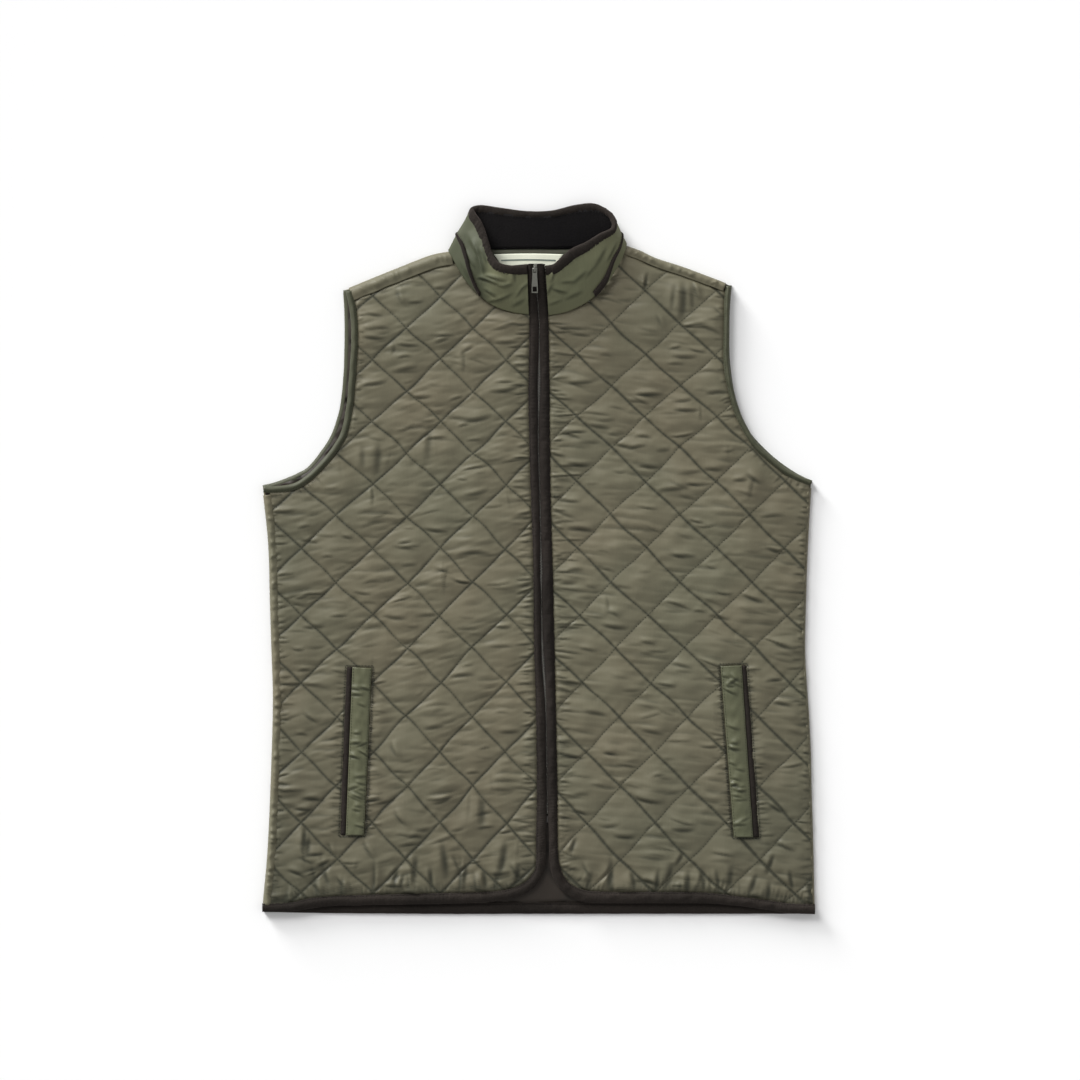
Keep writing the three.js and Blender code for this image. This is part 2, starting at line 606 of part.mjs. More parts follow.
// What stands in the back's upper edges: the collar's wall and the fronts' armhole bindings.
const collarRoom = collarPiece({
  low: () => -seamShare,
  high: () => 1,
  inner: -COLLAR_LINING - 1.5 * COLLAR_SEAM_GAP,
  outer: PIPING_PROUD + SEAM_GAP,
  rises: 3,
});
const liningRoom = collarPiece({ ...lining, inner: -COLLAR_LINING - SEAM_GAP, outer: SEAM_GAP });
const armholeRooms = ["left", "right"].map((side) =>
  band(
    shifted(armholeSeam[side], SIGN[side] * SEAM_GAP),
    shifted(armholeFree[side], -SIGN[side] * CUT_REACH),
    1,
    (x, y) => frontInside(x, y) - SEAM_GAP,
    () => SKY,
  ),
);
const back = [collarRoom, liningRoom, ...armholeRooms].reduce(
  (solid, room) => solid.subtract(room),
  wraps.reduce(
    (solid, wrap) => solid.add(wrap),
    prism(backOutline, 0, SKY).intersect(filledTo(backTop, false)),
  ),
);
addPiece("back_panel", back, finish(SHELL));

for (const side of ["left", "right"]) {
  const free = edge(ARMHOLE_BACK[side], 18);
  const inner = shifted(free, SIGN[side] * (BACK_BINDING_WIDTH - SEAM_GAP));
  const bound = band(inner, free, 2, floorLevel, flatDome);
  addPiece(`armhole_binding_back_${side}`, bound, finish(ARMHOLE_OLIVE));
}
const hemTop = edge(BACK_HEM, 16, "x", "top");
const hemBottom = edge(BACK_HEM, 16, "x", "bottom");
const backHem = band(hemTop, hemBottom, 2, floorLevel, flatDome);
addPiece("hem_binding_back", backHem, finish(DARK_BROWN));

const abovePiping = (place) => {
  const piped = place > COLLAR_PIPED.from && place < COLLAR_PIPED.to;
  return piped ? pipingRise(place) + halfPiping + seamShare : 0;
};
const bindingRoom = collarPiece({
  low: () => COLLAR_BINDING_FROM - seamShare / 2,
  high: () => 1,
  inner: -COLLAR_BINDING_IN - SEAM_GAP,
  outer: COLLAR_BINDING_OUT + SEAM_GAP,
  rises: 2,
});
const shell = { low: abovePiping, high: belowBinding, inner: SEAM_GAP, outer: COLLAR_SHELL, rises: 4 };
addPiece("collar_shell", collarPiece(shell).subtract(bindingRoom), finish(OLIVE));
addPiece(
  "collar_piping",
  collarPiece({
    ...COLLAR_PIPED,
    low: (place) => Math.max(pipingRise(place) - halfPiping, 0),
    high: (place) => pipingRise(place) + halfPiping,
    inner: SEAM_GAP,
    outer: PIPING_PROUD,
    rises: 1,
  }),
  finish(DARK_BROWN),
);
addPiece(
  "collar_stand",
  collarPiece({
    ...COLLAR_STAND,
    low: () => 0,
    high: (place) => pipingRise(place) - halfPiping - seamShare,
    inner: SEAM_GAP,
    outer: COLLAR_SHELL,
    rises: 2,
  }),
  finish(OLIVE),
);
addPiece("collar_lining", collarPiece(lining).subtract(bindingRoom), finish(CORDUROY));
addPiece(
  "collar_binding",
  collarPiece({
    low: () => COLLAR_BINDING_FROM,
    high: () => 1,
    inner: -COLLAR_BINDING_IN,
    outer: COLLAR_BINDING_OUT,
    rises: 2,
  }),
  finish(DARK_BROWN),
);

// Inside the neck: the olive facing under the back of the collar, with the bare label on it.
const FACING = { left: -56, right: 46, top: 322.6, bottom: 302 };
const LABEL = { left: -47, right: 26, top: 319.6, bottom: 305.6 };
const layerOn = ({ left, right, top, bottom }, steps, lift, thickness) => {
  const line = (y) =>
    Array.from({ length: steps + 1 }, (_, i) => new THREE.Vector2(mix(left, right, i / steps), y));
  const floor = (x, y) => backTop(x, y) + lift;
  return band(line(top), line(bottom), 2, floor, (x, y) => floor(x, y) + thickness);
};
addPiece("neck_facing", layerOn(FACING, 6, SEAM_GAP, FACING_THICKNESS), finish(OLIVE));
addPiece(
  "label_bare",
  layerOn(LABEL, 6, 2 * SEAM_GAP + FACING_THICKNESS, LABEL_THICKNESS),
  finish(OFF_WHITE),
);

// The zip: a chain of two tapes with their teeth, run as one strip under both bindings.
const chainPath = ["left", "right"].map((side) =>
  bindingFree[side].filter((point) => point.y > ZIP_END_Y && point.x < 60),
);
const chainLength = Math.min(chainPath[0].length, chainPath[1].length);
const chainMiddle = chainPath[0]
  .slice(0, chainLength)
  .map((point, i) => point.clone().lerp(chainPath[1][i], 0.5));
const chain = band(
  chainMiddle.map((point) => new THREE.Vector2(point.x - CHAIN_WIDTH / 2, point.y)),
  chainMiddle.map((point) => new THREE.Vector2(point.x + CHAIN_WIDTH / 2, point.y)),
  2,
  zipFloor,
  (x, y) => zipFloor(x, y) + CHAIN_THICKNESS,
);
addPiece("zip_chain", chain, finish(DARK_BROWN));

const archFoot = SLIDER.bottom + SLIDER.height / 2;
const sliderBody = block(0, 0, archFoot, SLIDER.width, SLIDER.length, SLIDER.height);
const archLeg = (y) =>
  block(0, y, (ARCH.top + archFoot) / 2, ARCH.width, ARCH.leg, ARCH.top - archFoot);
const arch = archLeg(-ARCH.halfLength)
  .add(archLeg(ARCH.halfLength))
  .add(block(0, 0, ARCH.top - ARCH.leg / 2, ARCH.width, 2 * ARCH.halfLength + ARCH.leg, ARCH.leg));
addPiece("zip_slider", slopeOf(sliderBody.add(arch)), finish(0x6c6a64, NICKEL));

const pin = solidOf(
  new THREE.CylinderGeometry(TAB_PIN_RADIUS, TAB_PIN_RADIUS, TAB_WIDTH, 16).rotateZ(Math.PI / 2),
);
const armLength = TAB_PLATE_FROM + TAB_PIN_RADIUS;
const arm = (x) => block(x, -TAB_PLATE_FROM / 2, 0, TAB_ARM_WIDTH, armLength, TAB_THICKNESS);
const plateLength = TAB_LENGTH - TAB_PLATE_FROM;
const slotY = -TAB_LENGTH + TAB_SLOT.fromEnd + TAB_SLOT.length / 2;
const plate = block(0, -TAB_PLATE_FROM - plateLength / 2, 0, TAB_WIDTH, plateLength, TAB_THICKNESS).subtract(
  block(0, slotY, 0, TAB_SLOT.width, TAB_SLOT.length, 2 * TAB_THICKNESS),
);
const armX = (TAB_WIDTH - TAB_ARM_WIDTH) / 2;
addPiece("pull_tab", slopeOf(plate.add(arm(-armX)).add(arm(armX)).add(pin)), finish(0x787870, NICKEL));

// The box that joins the two tapes at the foot of the zip.
const foot = chainMiddle.at(-1);
const boxY = foot.y - SEAM_GAP - ZIP_BOX.length / 2;
const boxZ = zipFloor(foot.x, boxY) + ZIP_BOX.height / 2;
addPiece(
  "zip_box",
  block(foot.x, boxY, boxZ, ZIP_BOX.width, ZIP_BOX.length, ZIP_BOX.height),
  finish(0x3a3936, NICKEL),
);

export default vest;
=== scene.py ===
"""Dresses a quilted vest that lies flat on its back, front up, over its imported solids.

The tables are in millimetres in the part's own frame: +X to the viewer's right, +Y towards the
collar, +Z up from the floor. Meshes are made in metres. Each sub-assembly is a class that holds
its sizes as fields and builds and dresses its own pieces.
"""

import logging
import math
from contextlib import contextmanager
from dataclasses import dataclass, field
from enum import Enum
from typing import Callable, Iterable, Iterator

import bmesh
import bpy
import numpy as np
from mathutils import Euler, Matrix, Vector

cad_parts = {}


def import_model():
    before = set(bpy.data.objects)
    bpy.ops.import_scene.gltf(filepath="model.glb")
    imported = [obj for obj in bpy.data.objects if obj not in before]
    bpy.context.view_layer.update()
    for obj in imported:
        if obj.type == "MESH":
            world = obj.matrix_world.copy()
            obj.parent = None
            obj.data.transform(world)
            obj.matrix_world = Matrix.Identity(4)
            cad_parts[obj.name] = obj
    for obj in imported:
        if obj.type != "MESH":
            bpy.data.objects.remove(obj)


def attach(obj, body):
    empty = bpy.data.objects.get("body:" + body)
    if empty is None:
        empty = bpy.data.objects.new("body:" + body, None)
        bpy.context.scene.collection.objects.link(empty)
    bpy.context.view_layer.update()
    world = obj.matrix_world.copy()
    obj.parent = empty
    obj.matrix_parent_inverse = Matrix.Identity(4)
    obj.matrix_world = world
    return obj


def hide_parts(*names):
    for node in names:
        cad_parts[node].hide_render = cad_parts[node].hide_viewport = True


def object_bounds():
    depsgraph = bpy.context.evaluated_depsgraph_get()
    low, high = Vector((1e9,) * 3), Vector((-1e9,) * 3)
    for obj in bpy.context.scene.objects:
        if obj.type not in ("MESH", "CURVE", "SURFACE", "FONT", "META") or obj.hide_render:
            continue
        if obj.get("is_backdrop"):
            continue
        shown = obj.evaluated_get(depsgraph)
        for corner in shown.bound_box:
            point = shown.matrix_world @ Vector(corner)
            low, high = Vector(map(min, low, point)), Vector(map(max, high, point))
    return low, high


LOG = logging.getLogger("quilted_vest")
Array = np.ndarray
Surface = Callable[..., Array]
Spot = tuple[float, float, float]
Box = tuple[float, float, float, float]
Spans = tuple[tuple[int, int], tuple[int, int]]
Mesh, Material = bpy.types.Mesh, bpy.types.Material
BMesh, Socket = bmesh.types.BMesh, bpy.types.NodeSocket
MM = 0.001
TAU = 2 * math.pi

# Laid-out size and layers.
SEAM_GAP = 0.3
BACK_EDGE_THICKNESS = 4.6
BACK_LOFT = 2.4
LOFT_RIM, LOFT_SIDE, LOFT_END = 10, 110, 90
STITCHED_THICKNESS = 2.6
NECK_LIFT = 4.5
NECK_LIFT_RADIUS = 55
HALF_WIDTH = 290
HEM_Y = -373
SHOULDER_Y = 330
NECK_FRONT_Y = 262
SIDE_ROLL_WIDTH = 9.5
ARMHOLE_BACK_WIDTH = 7
ZIP_SLOPE = math.radians(23.5)
ZIP_END_Y = -270
HINGE = (-3.9, 302.5, 38.6)
# What is left of a cloth's red, green and blue where its painted shade darkens it, in a seam or a
# fold.
SHADED_SHARE = (0.22, 0.26, 0.26)
# The slider's blocks, about the hinge: middle, size and rounding.
SLIDER_BLOCKS = [
    ((0, 0, -3.1), (5.4, 9, 1.7), 0.5), ((0, 0, -2.2), (4.2, 6.6, 0.9), 0.35),
    ((0, -2.2, -0.6), (2, 1, 4.4), 0.3), ((0, 2.2, -0.6), (2, 1, 4.4), 0.3),
    ((0, 0, 1.85), (2, 5.4, 0.9), 0.3),
]


class Side(Enum):
    """The two fronts, as the viewer sees them."""

    LEFT = "left"
    RIGHT = "right"

    @property
    def turn(self) -> int:
        """1 on the left and -1 on the right: which way an edge is moved inwards."""
        return 1 if self is Side.LEFT else -1


class Body(Enum):
    """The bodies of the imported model."""

    VEST = "vest"
    PULL_TAB = "pull_tab"


SIDE_EDGE = {
    Side.LEFT: [
        (-289, 66), (-285, 30), (-283, 0), (-282, -44), (-280.6, -90), (-279, -134), (-279, -163),
        (-280, -202), (-281.4, -241), (-283, -280), (-285.4, -319), (-288.5, -352), (-289.4, -361),
    ],
    Side.RIGHT: [
        (286.5, 74), (284.4, 40), (282.4, 0), (281, -44), (280, -95), (282, -134), (284, -163),
        (286, -202), (286.8, -241), (288, -280), (289, -319), (289.6, -350), (290, -361.6),
    ],
}
SHOULDER_EDGE = {
    Side.LEFT: [(-199, 284), (-176, 293.5), (-145, 306), (-114, 318), (-91.5, 322.6)],
    Side.RIGHT: [(197, 289), (176, 297), (149, 307), (124, 315), (107, 323), (89, 329.4)],
}
SHOULDER_WIDTH = {Side.LEFT: 13, Side.RIGHT: 8}
# How much of each rolled side shows beside the quilting, and how high it stands.
SIDE_ROLL_SHOWN = {Side.LEFT: 6.2, Side.RIGHT: 2.2}
SIDE_ROLL_HEIGHT = {Side.LEFT: 9.0, Side.RIGHT: 6.4}
ARMHOLE_WIDTH = {Side.LEFT: 6.5, Side.RIGHT: 5.5}
ARMHOLE_FRONT = {
    Side.LEFT: [
        (-195.5, 281), (-190.5, 252), (-190, 223), (-192, 192), (-195, 159), (-201, 131),
        (-211, 113), (-223, 98), (-240, 81.5), (-255, 72.5), (-274, 69.5), (-288.6, 69.6),
    ],
    Side.RIGHT: [
        (196.5, 286), (195, 262), (194.6, 205), (199, 178), (204, 159), (211, 141), (225, 118),
        (244, 100), (263, 86), (285.4, 76.6),
    ],
}
ARMHOLE_BACK = {
    Side.LEFT: [
        (-205, 281.5), (-203.6, 249), (-204, 207), (-206.5, 172), (-211, 148), (-218, 129),
        (-226.5, 115), (-241, 97), (-254, 89), (-275, 80.5), (-289.6, 77),
    ],
    Side.RIGHT: [
        (203, 286.5), (201, 262), (200.6, 216), (203.6, 186), (209.5, 157), (221, 134),
        (238, 114.6), (256, 99.4), (272, 89), (286.6, 81.6),
    ],
}
NECK_SEAM = {
    Side.LEFT: [
        (-92.4, 322), (-83, 302), (-74, 288), (-62, 276), (-48, 265.4), (-31, 258.6), (-9.5, 255.4),
    ],
    Side.RIGHT: [
        (90, 329.4), (87.6, 318), (80, 302), (71, 286.6), (60, 275.6), (46, 265.4), (28, 257.6),
        (10, 254.2),
    ],
}
BACK_NECK = [(-87, 321.4), (-80, 322.8), (-45, 322.8), (45, 323.8), (76, 324.8), (84, 327)]
# The binding of each front edge, from the top of the collar to the side: the edge at the panel
# and the free edge.
FRONT_BINDING = {
    Side.LEFT: [
        (-11.6, 303.6, -3.8, 303.6), (-11, 285, -2.6, 285), (-9.7, 262, -0.8, 262),
        (-9, 246, 0.2, 246), (-9.4, 205, 0.2, 205), (-10, 171, 0, 171), (-9, 122, -0.7, 122),
        (-7, 57, 1.2, 57), (-5, -2, 2.2, -2), (-4, -88, 3.4, -88), (-2.2, -152, 7, -152),
        (-1.2, -216, 8.2, -216), (-1.2, -262, 8.6, -262), (-2, -290, 8, -288),
        (-2.2, -321, 7.6, -318), (-7, -333, 1.8, -337), (-17, -342, -10, -349.6),
        (-36, -348.4, -31, -357.6), (-66, -350.6, -64, -361), (-106, -351.6, -106, -362.4),
        (-165, -353, -165, -363.4), (-214, -354.4, -214, -364.4), (-240, -357, -240, -367.2),
        (-260, -361.4, -260, -370.4), (-289.6, -362.6, -289.6, -370.6),
    ],
    Side.RIGHT: [
        (6.2, 303.6, -3, 303.6), (7.5, 285, -1.8, 285), (9.4, 262, 0.2, 262), (10, 246, 1.2, 246),
        (10.6, 205, 1.2, 205), (11, 171, 1, 171), (11.3, 122, 0.3, 122), (12.2, 57, 2.2, 57),
        (14, -2, 3.2, -2), (16, -88, 4.4, -88), (17.4, -152, 8, -152), (18.8, -216, 9.2, -216),
        (19.3, -262, 9.6, -262), (19.4, -290, 10.8, -288), (20.4, -315, 12.2, -322),
        (25, -331.6, 17.6, -338.6), (34, -342.4, 28.4, -352), (50, -348.6, 46, -360),
        (78, -350.2, 76, -361.4), (120, -350.2, 120, -361.4), (172, -350.8, 172, -361.6),
        (206, -354.4, 206, -364), (240, -359, 240, -368.6), (264, -362.4, 264, -372),
        (290, -363, 290, -373),
    ],
}
# Where the two bound edges gape a little over the teeth: y, half length, width for each edge.
GAPES = [(184, 24, 1.3), (-9, 15, 1.0), (-112, 28, 1.3)]
# How far the bound edges run up past the zip, beside its slider.
BINDING_RISE = 4.2
BACK_HEM = [
    (-288.6, -362.4, -371), (-240, -362.4, -372), (-120, -362.4, -373), (0, -362.4, -373),
    (120, -362.4, -373), (240, -362.6, -373), (289, -362.8, -373),
]
QUILT_COLUMNS = {
    Side.LEFT: [0, -34, -69, -103, -138, -174, -212, -249, -286, -323],
    Side.RIGHT: [5, 40, 76, 112, 148, 186, 222, 258, 294, 330],
}
QUILT_ROWS = {
    Side.LEFT: [
        242, 209, 176, 144, 111, 78, 45, 11, -25, -59, -94, -130, -166, -203, -239, -277, -316,
        -351, -388,
    ],
    Side.RIGHT: [
        247, 213, 181, 149, 116, 81, 46, 11, -25, -59, -94, -130, -166, -203, -239, -277, -316,
        -351, -388,
    ],
}
QUILT_SHIFT = {Side.LEFT: 0, Side.RIGHT: 10}
# How tightly the lines of constant p and of constant q are drawn down, and how much painted shade
# darkens each.
LINE_HOLD = {Side.LEFT: (0.95, 1.0), Side.RIGHT: (0.45, 1.25)}
QUILT_SHIFT_FROM, QUILT_SHIFT_TO = 20, -240
# Headings of the small creases and of the fine streaks, in degrees.
CREASE_LEAN = {Side.LEFT: 4, Side.RIGHT: -6}
STREAK_LEAN = {Side.LEFT: 5, Side.RIGHT: -7}
# How far apart the hem's drag lines are, and how far the longest ones beside the zip reach.
HEM_PITCH = {Side.LEFT: 26, Side.RIGHT: 38}
PLACKET_REACH = {Side.LEFT: 16, Side.RIGHT: 26}

# Soft folds of the laid cloth: x, y, heading in degrees, half length, half width, height.
FOLDS = [
    (60, 205, 72, 70, 22, 2.4), (118, 262, 100, 38, 16, 2.2), (-150, 236, 12, 60, 18, 1.8),
    (-60, 60, 80, 120, 30, 1.6), (90, -60, 86, 120, 34, 1.8), (-120, -210, 84, 110, 30, 1.6),
    (120, -250, 96, 90, 30, 1.6), (-210, 60, 100, 50, 16, 2), (215, 60, 78, 50, 18, 2),
]
# Creases that the eye finds first: x, y, heading, half length, half width, height, bend.
CREASES = {
    Side.LEFT: [
        (-67, 147, 8, 18, 2.6, 1.5, 2), (-34, 178, 12, 20, 2.4, 1.3, 3),
        (-68, 8.5, 2, 19, 2.8, 2, -2), (-107, 31, -5, 15, 2.6, 1.5, 1),
        (-34, 228, 3, 16, 2.2, 1.1, 0), (-65, 70, 12, 15, 2.6, 1.2, 2),
        (-102, 230, 20, 9, 2.2, 1, 0), (-76, 220, 30, 9, 2.2, 0.9, 0),
        (-102, -253, 20, 12, 2.6, 1.4, 2), (-127, -289, -5, 9, 2.6, 1.4, -2),
        (-103, -318, 97, 24, 5, 1.8, 1), (-25, -331, 88, 13, 3.6, 2.2, 1),
        (-65, -266, 88, 22, 6, 1.4, 0), (-88, -322, 112, 12, 2.4, 1.3, 1),
        (-36, -286, 8, 9, 1.6, 1.3, 1), (-68, -318, 8, 8, 1.6, 1.4, 1), (-69, -223, 5, 9, 2, 1, -1),
        (-247, -261, -3, 12, 2.6, 1.8, 1), (-150, -200, -65, 10, 2.8, 1.4, 2),
        (-162, -254, 12, 13, 2.4, 1.4, 1), (-144, -272, -50, 13, 2.8, 1.4, 4),
        (-177, -305, -60, 12, 2.8, 1.5, 1), (-245, -301, 85, 13, 3.6, 1.4, 0),
        (-232, -344, -50, 8, 2.2, 1.5, 0), (-206, -339, -60, 9, 2.4, 1.6, 0),
        (-146, -338, 75, 9, 2.8, 1.5, 0), (-174, 233, -5, 12, 2.2, 1.4, 0),
        (-172, 257, -8, 11, 2.2, 1.2, 1), (-145, 276, -75, 11, 2.4, 1.2, 2),
        (-137, 225, -4, 15, 2.2, 1.4, 1), (-138, 201, 10, 13, 2.6, 1.2, 0),
        (-172, 185, 8, 15, 2.6, 1.3, 1), (-173, 104, 86, 21, 5, 1.3, 1),
        (-188, 106, 92, 14, 4, 1, 0), (-120, 120, 86, 22, 5, 1, 0), (-240, 20, -8, 12, 2.6, 1.2, 0),
        (-236, -70, 4, 14, 2.8, 1.3, 1), (-255, -130, 8, 11, 2.4, 1.4, 0),
        (-150, -60, -4, 14, 2.8, 1.3, 1), (-80, -120, 6, 16, 2.8, 1.5, -1),
        (-40, -70, -4, 13, 2.4, 1.3, 1), (-110, -175, 10, 13, 2.6, 1.2, 0),
        (-30, -180, 2, 13, 2.4, 1.3, 0), (-220, -332, -70, 14, 3.6, 1.8, 1),
        (-154, -334, 78, 14, 4, 1.8, 0), (-134, -326, 84, 18, 4.4, 1.9, 0),
        (-116, -334, 95, 13, 3.4, 1.4, 0), (-249, -295, 86, 16, 3.4, 1.7, 0),
        (-216, -305, -70, 9, 2.4, 1.4, 1), (-253, -328, -22, 12, 2.4, 1.6, -1),
        (-243, -315, -25, 10, 2.2, 1.4, 1), (-235, -309, 6, 11, 2, 1.3, 0),
        (-226, -318, 25, 8, 2, 1.3, 0), (-82, -332, 80, 15, 4.4, 1.6, 0),
        (-60, -336, 96, 13, 3.6, 1.5, 0), (-42, -316, 78, 24, 4.8, 1.9, 2),
        (-178, -252, 10, 14, 2.4, 1.5, 1), (-236, -250, -6, 15, 2.6, 2, -1),
        (-238, -166, -35, 10, 2.4, 1.6, 1),
    ],
    Side.RIGHT: [
        (43, 100, -5, 14, 2.6, 2, 1), (46, 33, -6, 18, 2.8, 2.1, -2), (46, 186, 3, 16, 2.2, 1.3, 1),
        (25, 173, -10, 7, 1.8, 1, 0), (36, 243, -4, 20, 2.2, 1.5, 1), (44, 236, -6, 14, 2, 1.2, 0),
        (114, -252, -12, 19, 2.8, 1.9, 2), (90, -290, -3, 13, 2.6, 1.6, 1),
        (114, -336, -10, 15, 3, 2.2, -3), (146, -314, 60, 10, 2.6, 1.4, 1),
        (52, -326, -60, 11, 2.6, 1.4, 2), (33, -300, 70, 11, 3.4, 1.6, 0),
        (152, -282, 0, 15, 3.4, 1.7, 1), (43, -264, -15, 12, 2.4, 1.4, -2),
        (147, 270, 88, 24, 5.2, 2.3, 2), (138, 274, 84, 17, 3, 1.1, -1),
        (158, 272, 96, 15, 3, 1, 1), (166, 282, -72, 11, 2.4, 2.2, 0),
        (110, 289, 82, 13, 2.4, 2.2, 0), (129, 249, -70, 9, 2.6, 1.1, 0),
        (152, 213, -3, 15, 2.4, 1.3, 1), (117, 174, 0, 17, 2.4, 1.6, 0),
        (155, 157, -2, 15, 2.2, 1.4, 1), (185, 176, 8, 12, 2.4, 1.4, 0),
        (117, 98, -4, 15, 2.4, 1.7, 0), (183, 95, -5, 11, 2.4, 1.3, 0), (141, 75, 5, 17, 3, 1.3, 0),
        (227, 85, -35, 11, 3, 1.9, 1), (211, 84, 5, 9, 2.4, 1.2, 0),
        (190, 260, -45, 8, 2.2, 1.3, 0), (64, 140, -8, 14, 2.6, 1.2, 0),
        (250, 10, -14, 14, 3, 1.6, 2), (225, -40, -20, 16, 3, 1.6, 1),
        (150, 5, -6, 16, 2.8, 1.4, 0), (80, -70, -8, 16, 2.8, 1.6, 1),
        (60, -160, -10, 15, 2.6, 1.5, -1), (150, -110, -14, 14, 2.8, 1.4, 0),
        (255, -150, -10, 13, 2.8, 1.6, 0), (250, -260, -30, 13, 3, 1.7, 1),
        (240, -320, 70, 13, 3, 1.6, 0), (120, -180, -10, 14, 2.6, 1.3, 0),
        (190, -60, -12, 13, 2.6, 1.3, 0), (70, -334, 82, 15, 4.2, 1.6, 0),
        (96, -338, 100, 12, 3.6, 1.4, 0), (133, -332, 76, 15, 4.4, 1.6, 1),
        (168, -336, 95, 13, 4, 1.4, 0), (197, -334, 84, 14, 4.2, 1.4, 0),
        (222, -340, 70, 12, 3.4, 1.5, 0), (262, -338, 100, 12, 2.8, 1.6, 0),
        (258, -300, -24, 14, 2.6, 1.8, 1), (30, -70, -5, 17, 2.4, 1.6, 1),
        (34, -128, -8, 19, 2.4, 1.7, -1), (30, 62, -6, 16, 2.2, 1.4, 1),
        (34, -205, -12, 18, 2.6, 1.7, 1), (36, 135, -4, 18, 2.2, 1.4, 0),
        (258, -90, -16, 15, 2.8, 1.6, 1),
    ],
}
# Crumples of the collar's outer cloth, in the same columns.
COLLAR_CREASES = [
    (-50, 293, -17, 14, 1.8, 2.6, -2), (-34, 287.5, 8, 8, 1.7, 2.0, 1),
    (-44, 295.5, -14, 13, 1.5, 2.0, -1), (-27, 294, 100, 7, 2.2, 1.3, 0),
    (-14, 287, 40, 8, 1.8, 1.3, 0), (-20, 281, 55, 9, 1.6, 1, 0), (-58, 312, -75, 15, 2.6, 2.2, 0),
    (-64, 326, -65, 10, 3.2, 1.8, 0), (-36, 275, 25, 12, 2.2, 1.1, 1),
    (-49, 280, -30, 9, 1.8, 1.2, 0), (22, 282, -15, 10, 2.4, 1.5, 1), (30, 291, 5, 9, 2, 1, 0),
    (41, 296, 42, 13, 2.8, 1.1, 0), (62, 316, 60, 15, 3.2, 1, 0), (17, 270, 20, 9, 2, 0.9, 0),
    (52, 301, 50, 11, 2.2, 0.8, 0), (-76, 303, -65, 11, 2, 0.9, 0), (14, 296, 75, 7, 1.8, 1, 0),
    (-66, 328, -68, 17, 5, 1.1, 0), (-55, 318, -72, 10, 2, 1.3, 0), (-45, 272, 15, 10, 2, 1, 0),
    (-8, 276, 70, 12, 3, 1.2, 1), (-22, 270, 30, 10, 3, 1, 0), (-70, 314, -60, 12, 1.8, 1.2, 0),
    (36, 278, 25, 12, 3, 1, 0), (10, 283, 60, 9, 2.6, 1, 0), (75, 322, 62, 14, 2.4, 0.9, 0),
]
# Each pocket's welt and its dark lip, corner by corner from the top left, clockwise.
POCKET_WELT = {
    Side.LEFT: [(-195, -114), (-175, -115), (-183, -290), (-202, -290)],
    Side.RIGHT: [(191, -113), (213, -112), (225, -292), (205, -292)],
}
POCKET_LIP = {
    Side.LEFT: [(-200.4, -114), (-195.3, -114), (-202.3, -290), (-207.4, -290)],
    Side.RIGHT: [(213.3, -112), (217.4, -112), (231, -292), (225.3, -292)],
}
# Collar sections from the zip's left side round the back to its right side: a point on the neck
# seam, the point on the top edge, and how far up the piping runs there.
COLLAR = [
    (-10, 256.4, 12.6, -12, 307.6, 35.5, 0), (-27, 258.8, 12.6, -31, 306.4, 36, 0),
    (-48, 266.4, 12.6, -42, 310, 34.5, 0), (-62, 277, 12.4, -48.5, 319, 31, 0.05),
    (-74, 289, 12, -51.5, 329, 28, 0.22), (-83, 302.6, 11.4, -55, 341, 24, 0.32),
    (-88.6, 313, 9.6, -60.4, 354, 19, 0.36), (-92.6, 322.6, 6.6, -68, 367, 12, 0.37),
    (-82, 324.4, 4.2, -62, 370.6, 7, 0.37), (-45, 324.4, 4, -40, 368, 7, 0.37),
    (-15, 325, 4, -12, 364.4, 8, 0.37), (15, 325, 4, 14, 365, 9, 0.37),
    (45, 325.4, 4, 40, 371, 10.5, 0.36), (74, 326.4, 4.6, 60, 371.6, 13, 0.34),
    (90, 330.4, 7.4, 76, 359, 19, 0.3), (87.6, 318, 10.4, 77, 347, 24, 0.26),
    (80, 302.6, 11.8, 64, 340, 27.5, 0.2), (71, 287.6, 12.4, 49.6, 331, 31, 0.1),
    (60, 276.6, 12.6, 34.6, 324, 34, 0.05), (46, 266.6, 12.6, 24, 315, 35, 0),
    (28, 258.8, 12.6, 15, 307.4, 35.6, 0), (10.4, 255.4, 12.6, 7, 306, 35.5, 0),
]


def smooth(value: Array | float, low: float, high: float) -> Array | float:
    """A smooth step from 0 at low to 1 at high."""
    t = np.clip((np.asarray(value, float) - low) / (high - low), 0, 1)
    return t * t * (3 - 2 * t)


def mix(a: Array | float, b: Array | float, t: Array | float) -> Array | float:
    """a at t 0 and b at t 1."""
    return a + (b - a) * t


def along(values: Iterable[float], place: Array) -> Array:
    """Reads a list at fractional places, and runs on straight past its ends.

    Args:
        values: The list.
        place: Places in it, with 0 at its first value.

    Returns:
        The values there.
    """
    table = np.asarray(values, float)
    place = np.asarray(place, float)
    i = np.clip(np.floor(place).astype(int), 0, len(table) - 2)
    return table[i] + (table[i + 1] - table[i]) * (place - i)


def spline(rows: Iterable[tuple[float, float]], per_row: int = 24) -> Array:
    """A smooth line through points in a plane.

    Args:
        rows: The points.
        per_row: Points on the line between one row and the next.

    Returns:
        The line's points.
    """
    p = np.asarray(rows, float)
    place = np.linspace(0, len(p) - 1, (len(p) - 1) * per_row + 1)
    i = np.minimum(place.astype(int), len(p) - 2)
    t = (place - i)[:, None]
    p0, p1 = p[np.maximum(i - 1, 0)], p[i]
    p2, p3 = p[i + 1], p[np.minimum(i + 2, len(p) - 1)]
    v0, v1 = (p2 - p0) / 2, (p3 - p1) / 2
    return (
        (2 * p1 - 2 * p2 + v0 + v1) * t**3 + (-3 * p1 + 3 * p2 - 2 * v0 - v1) * t**2 + v0 * t + p1
    )


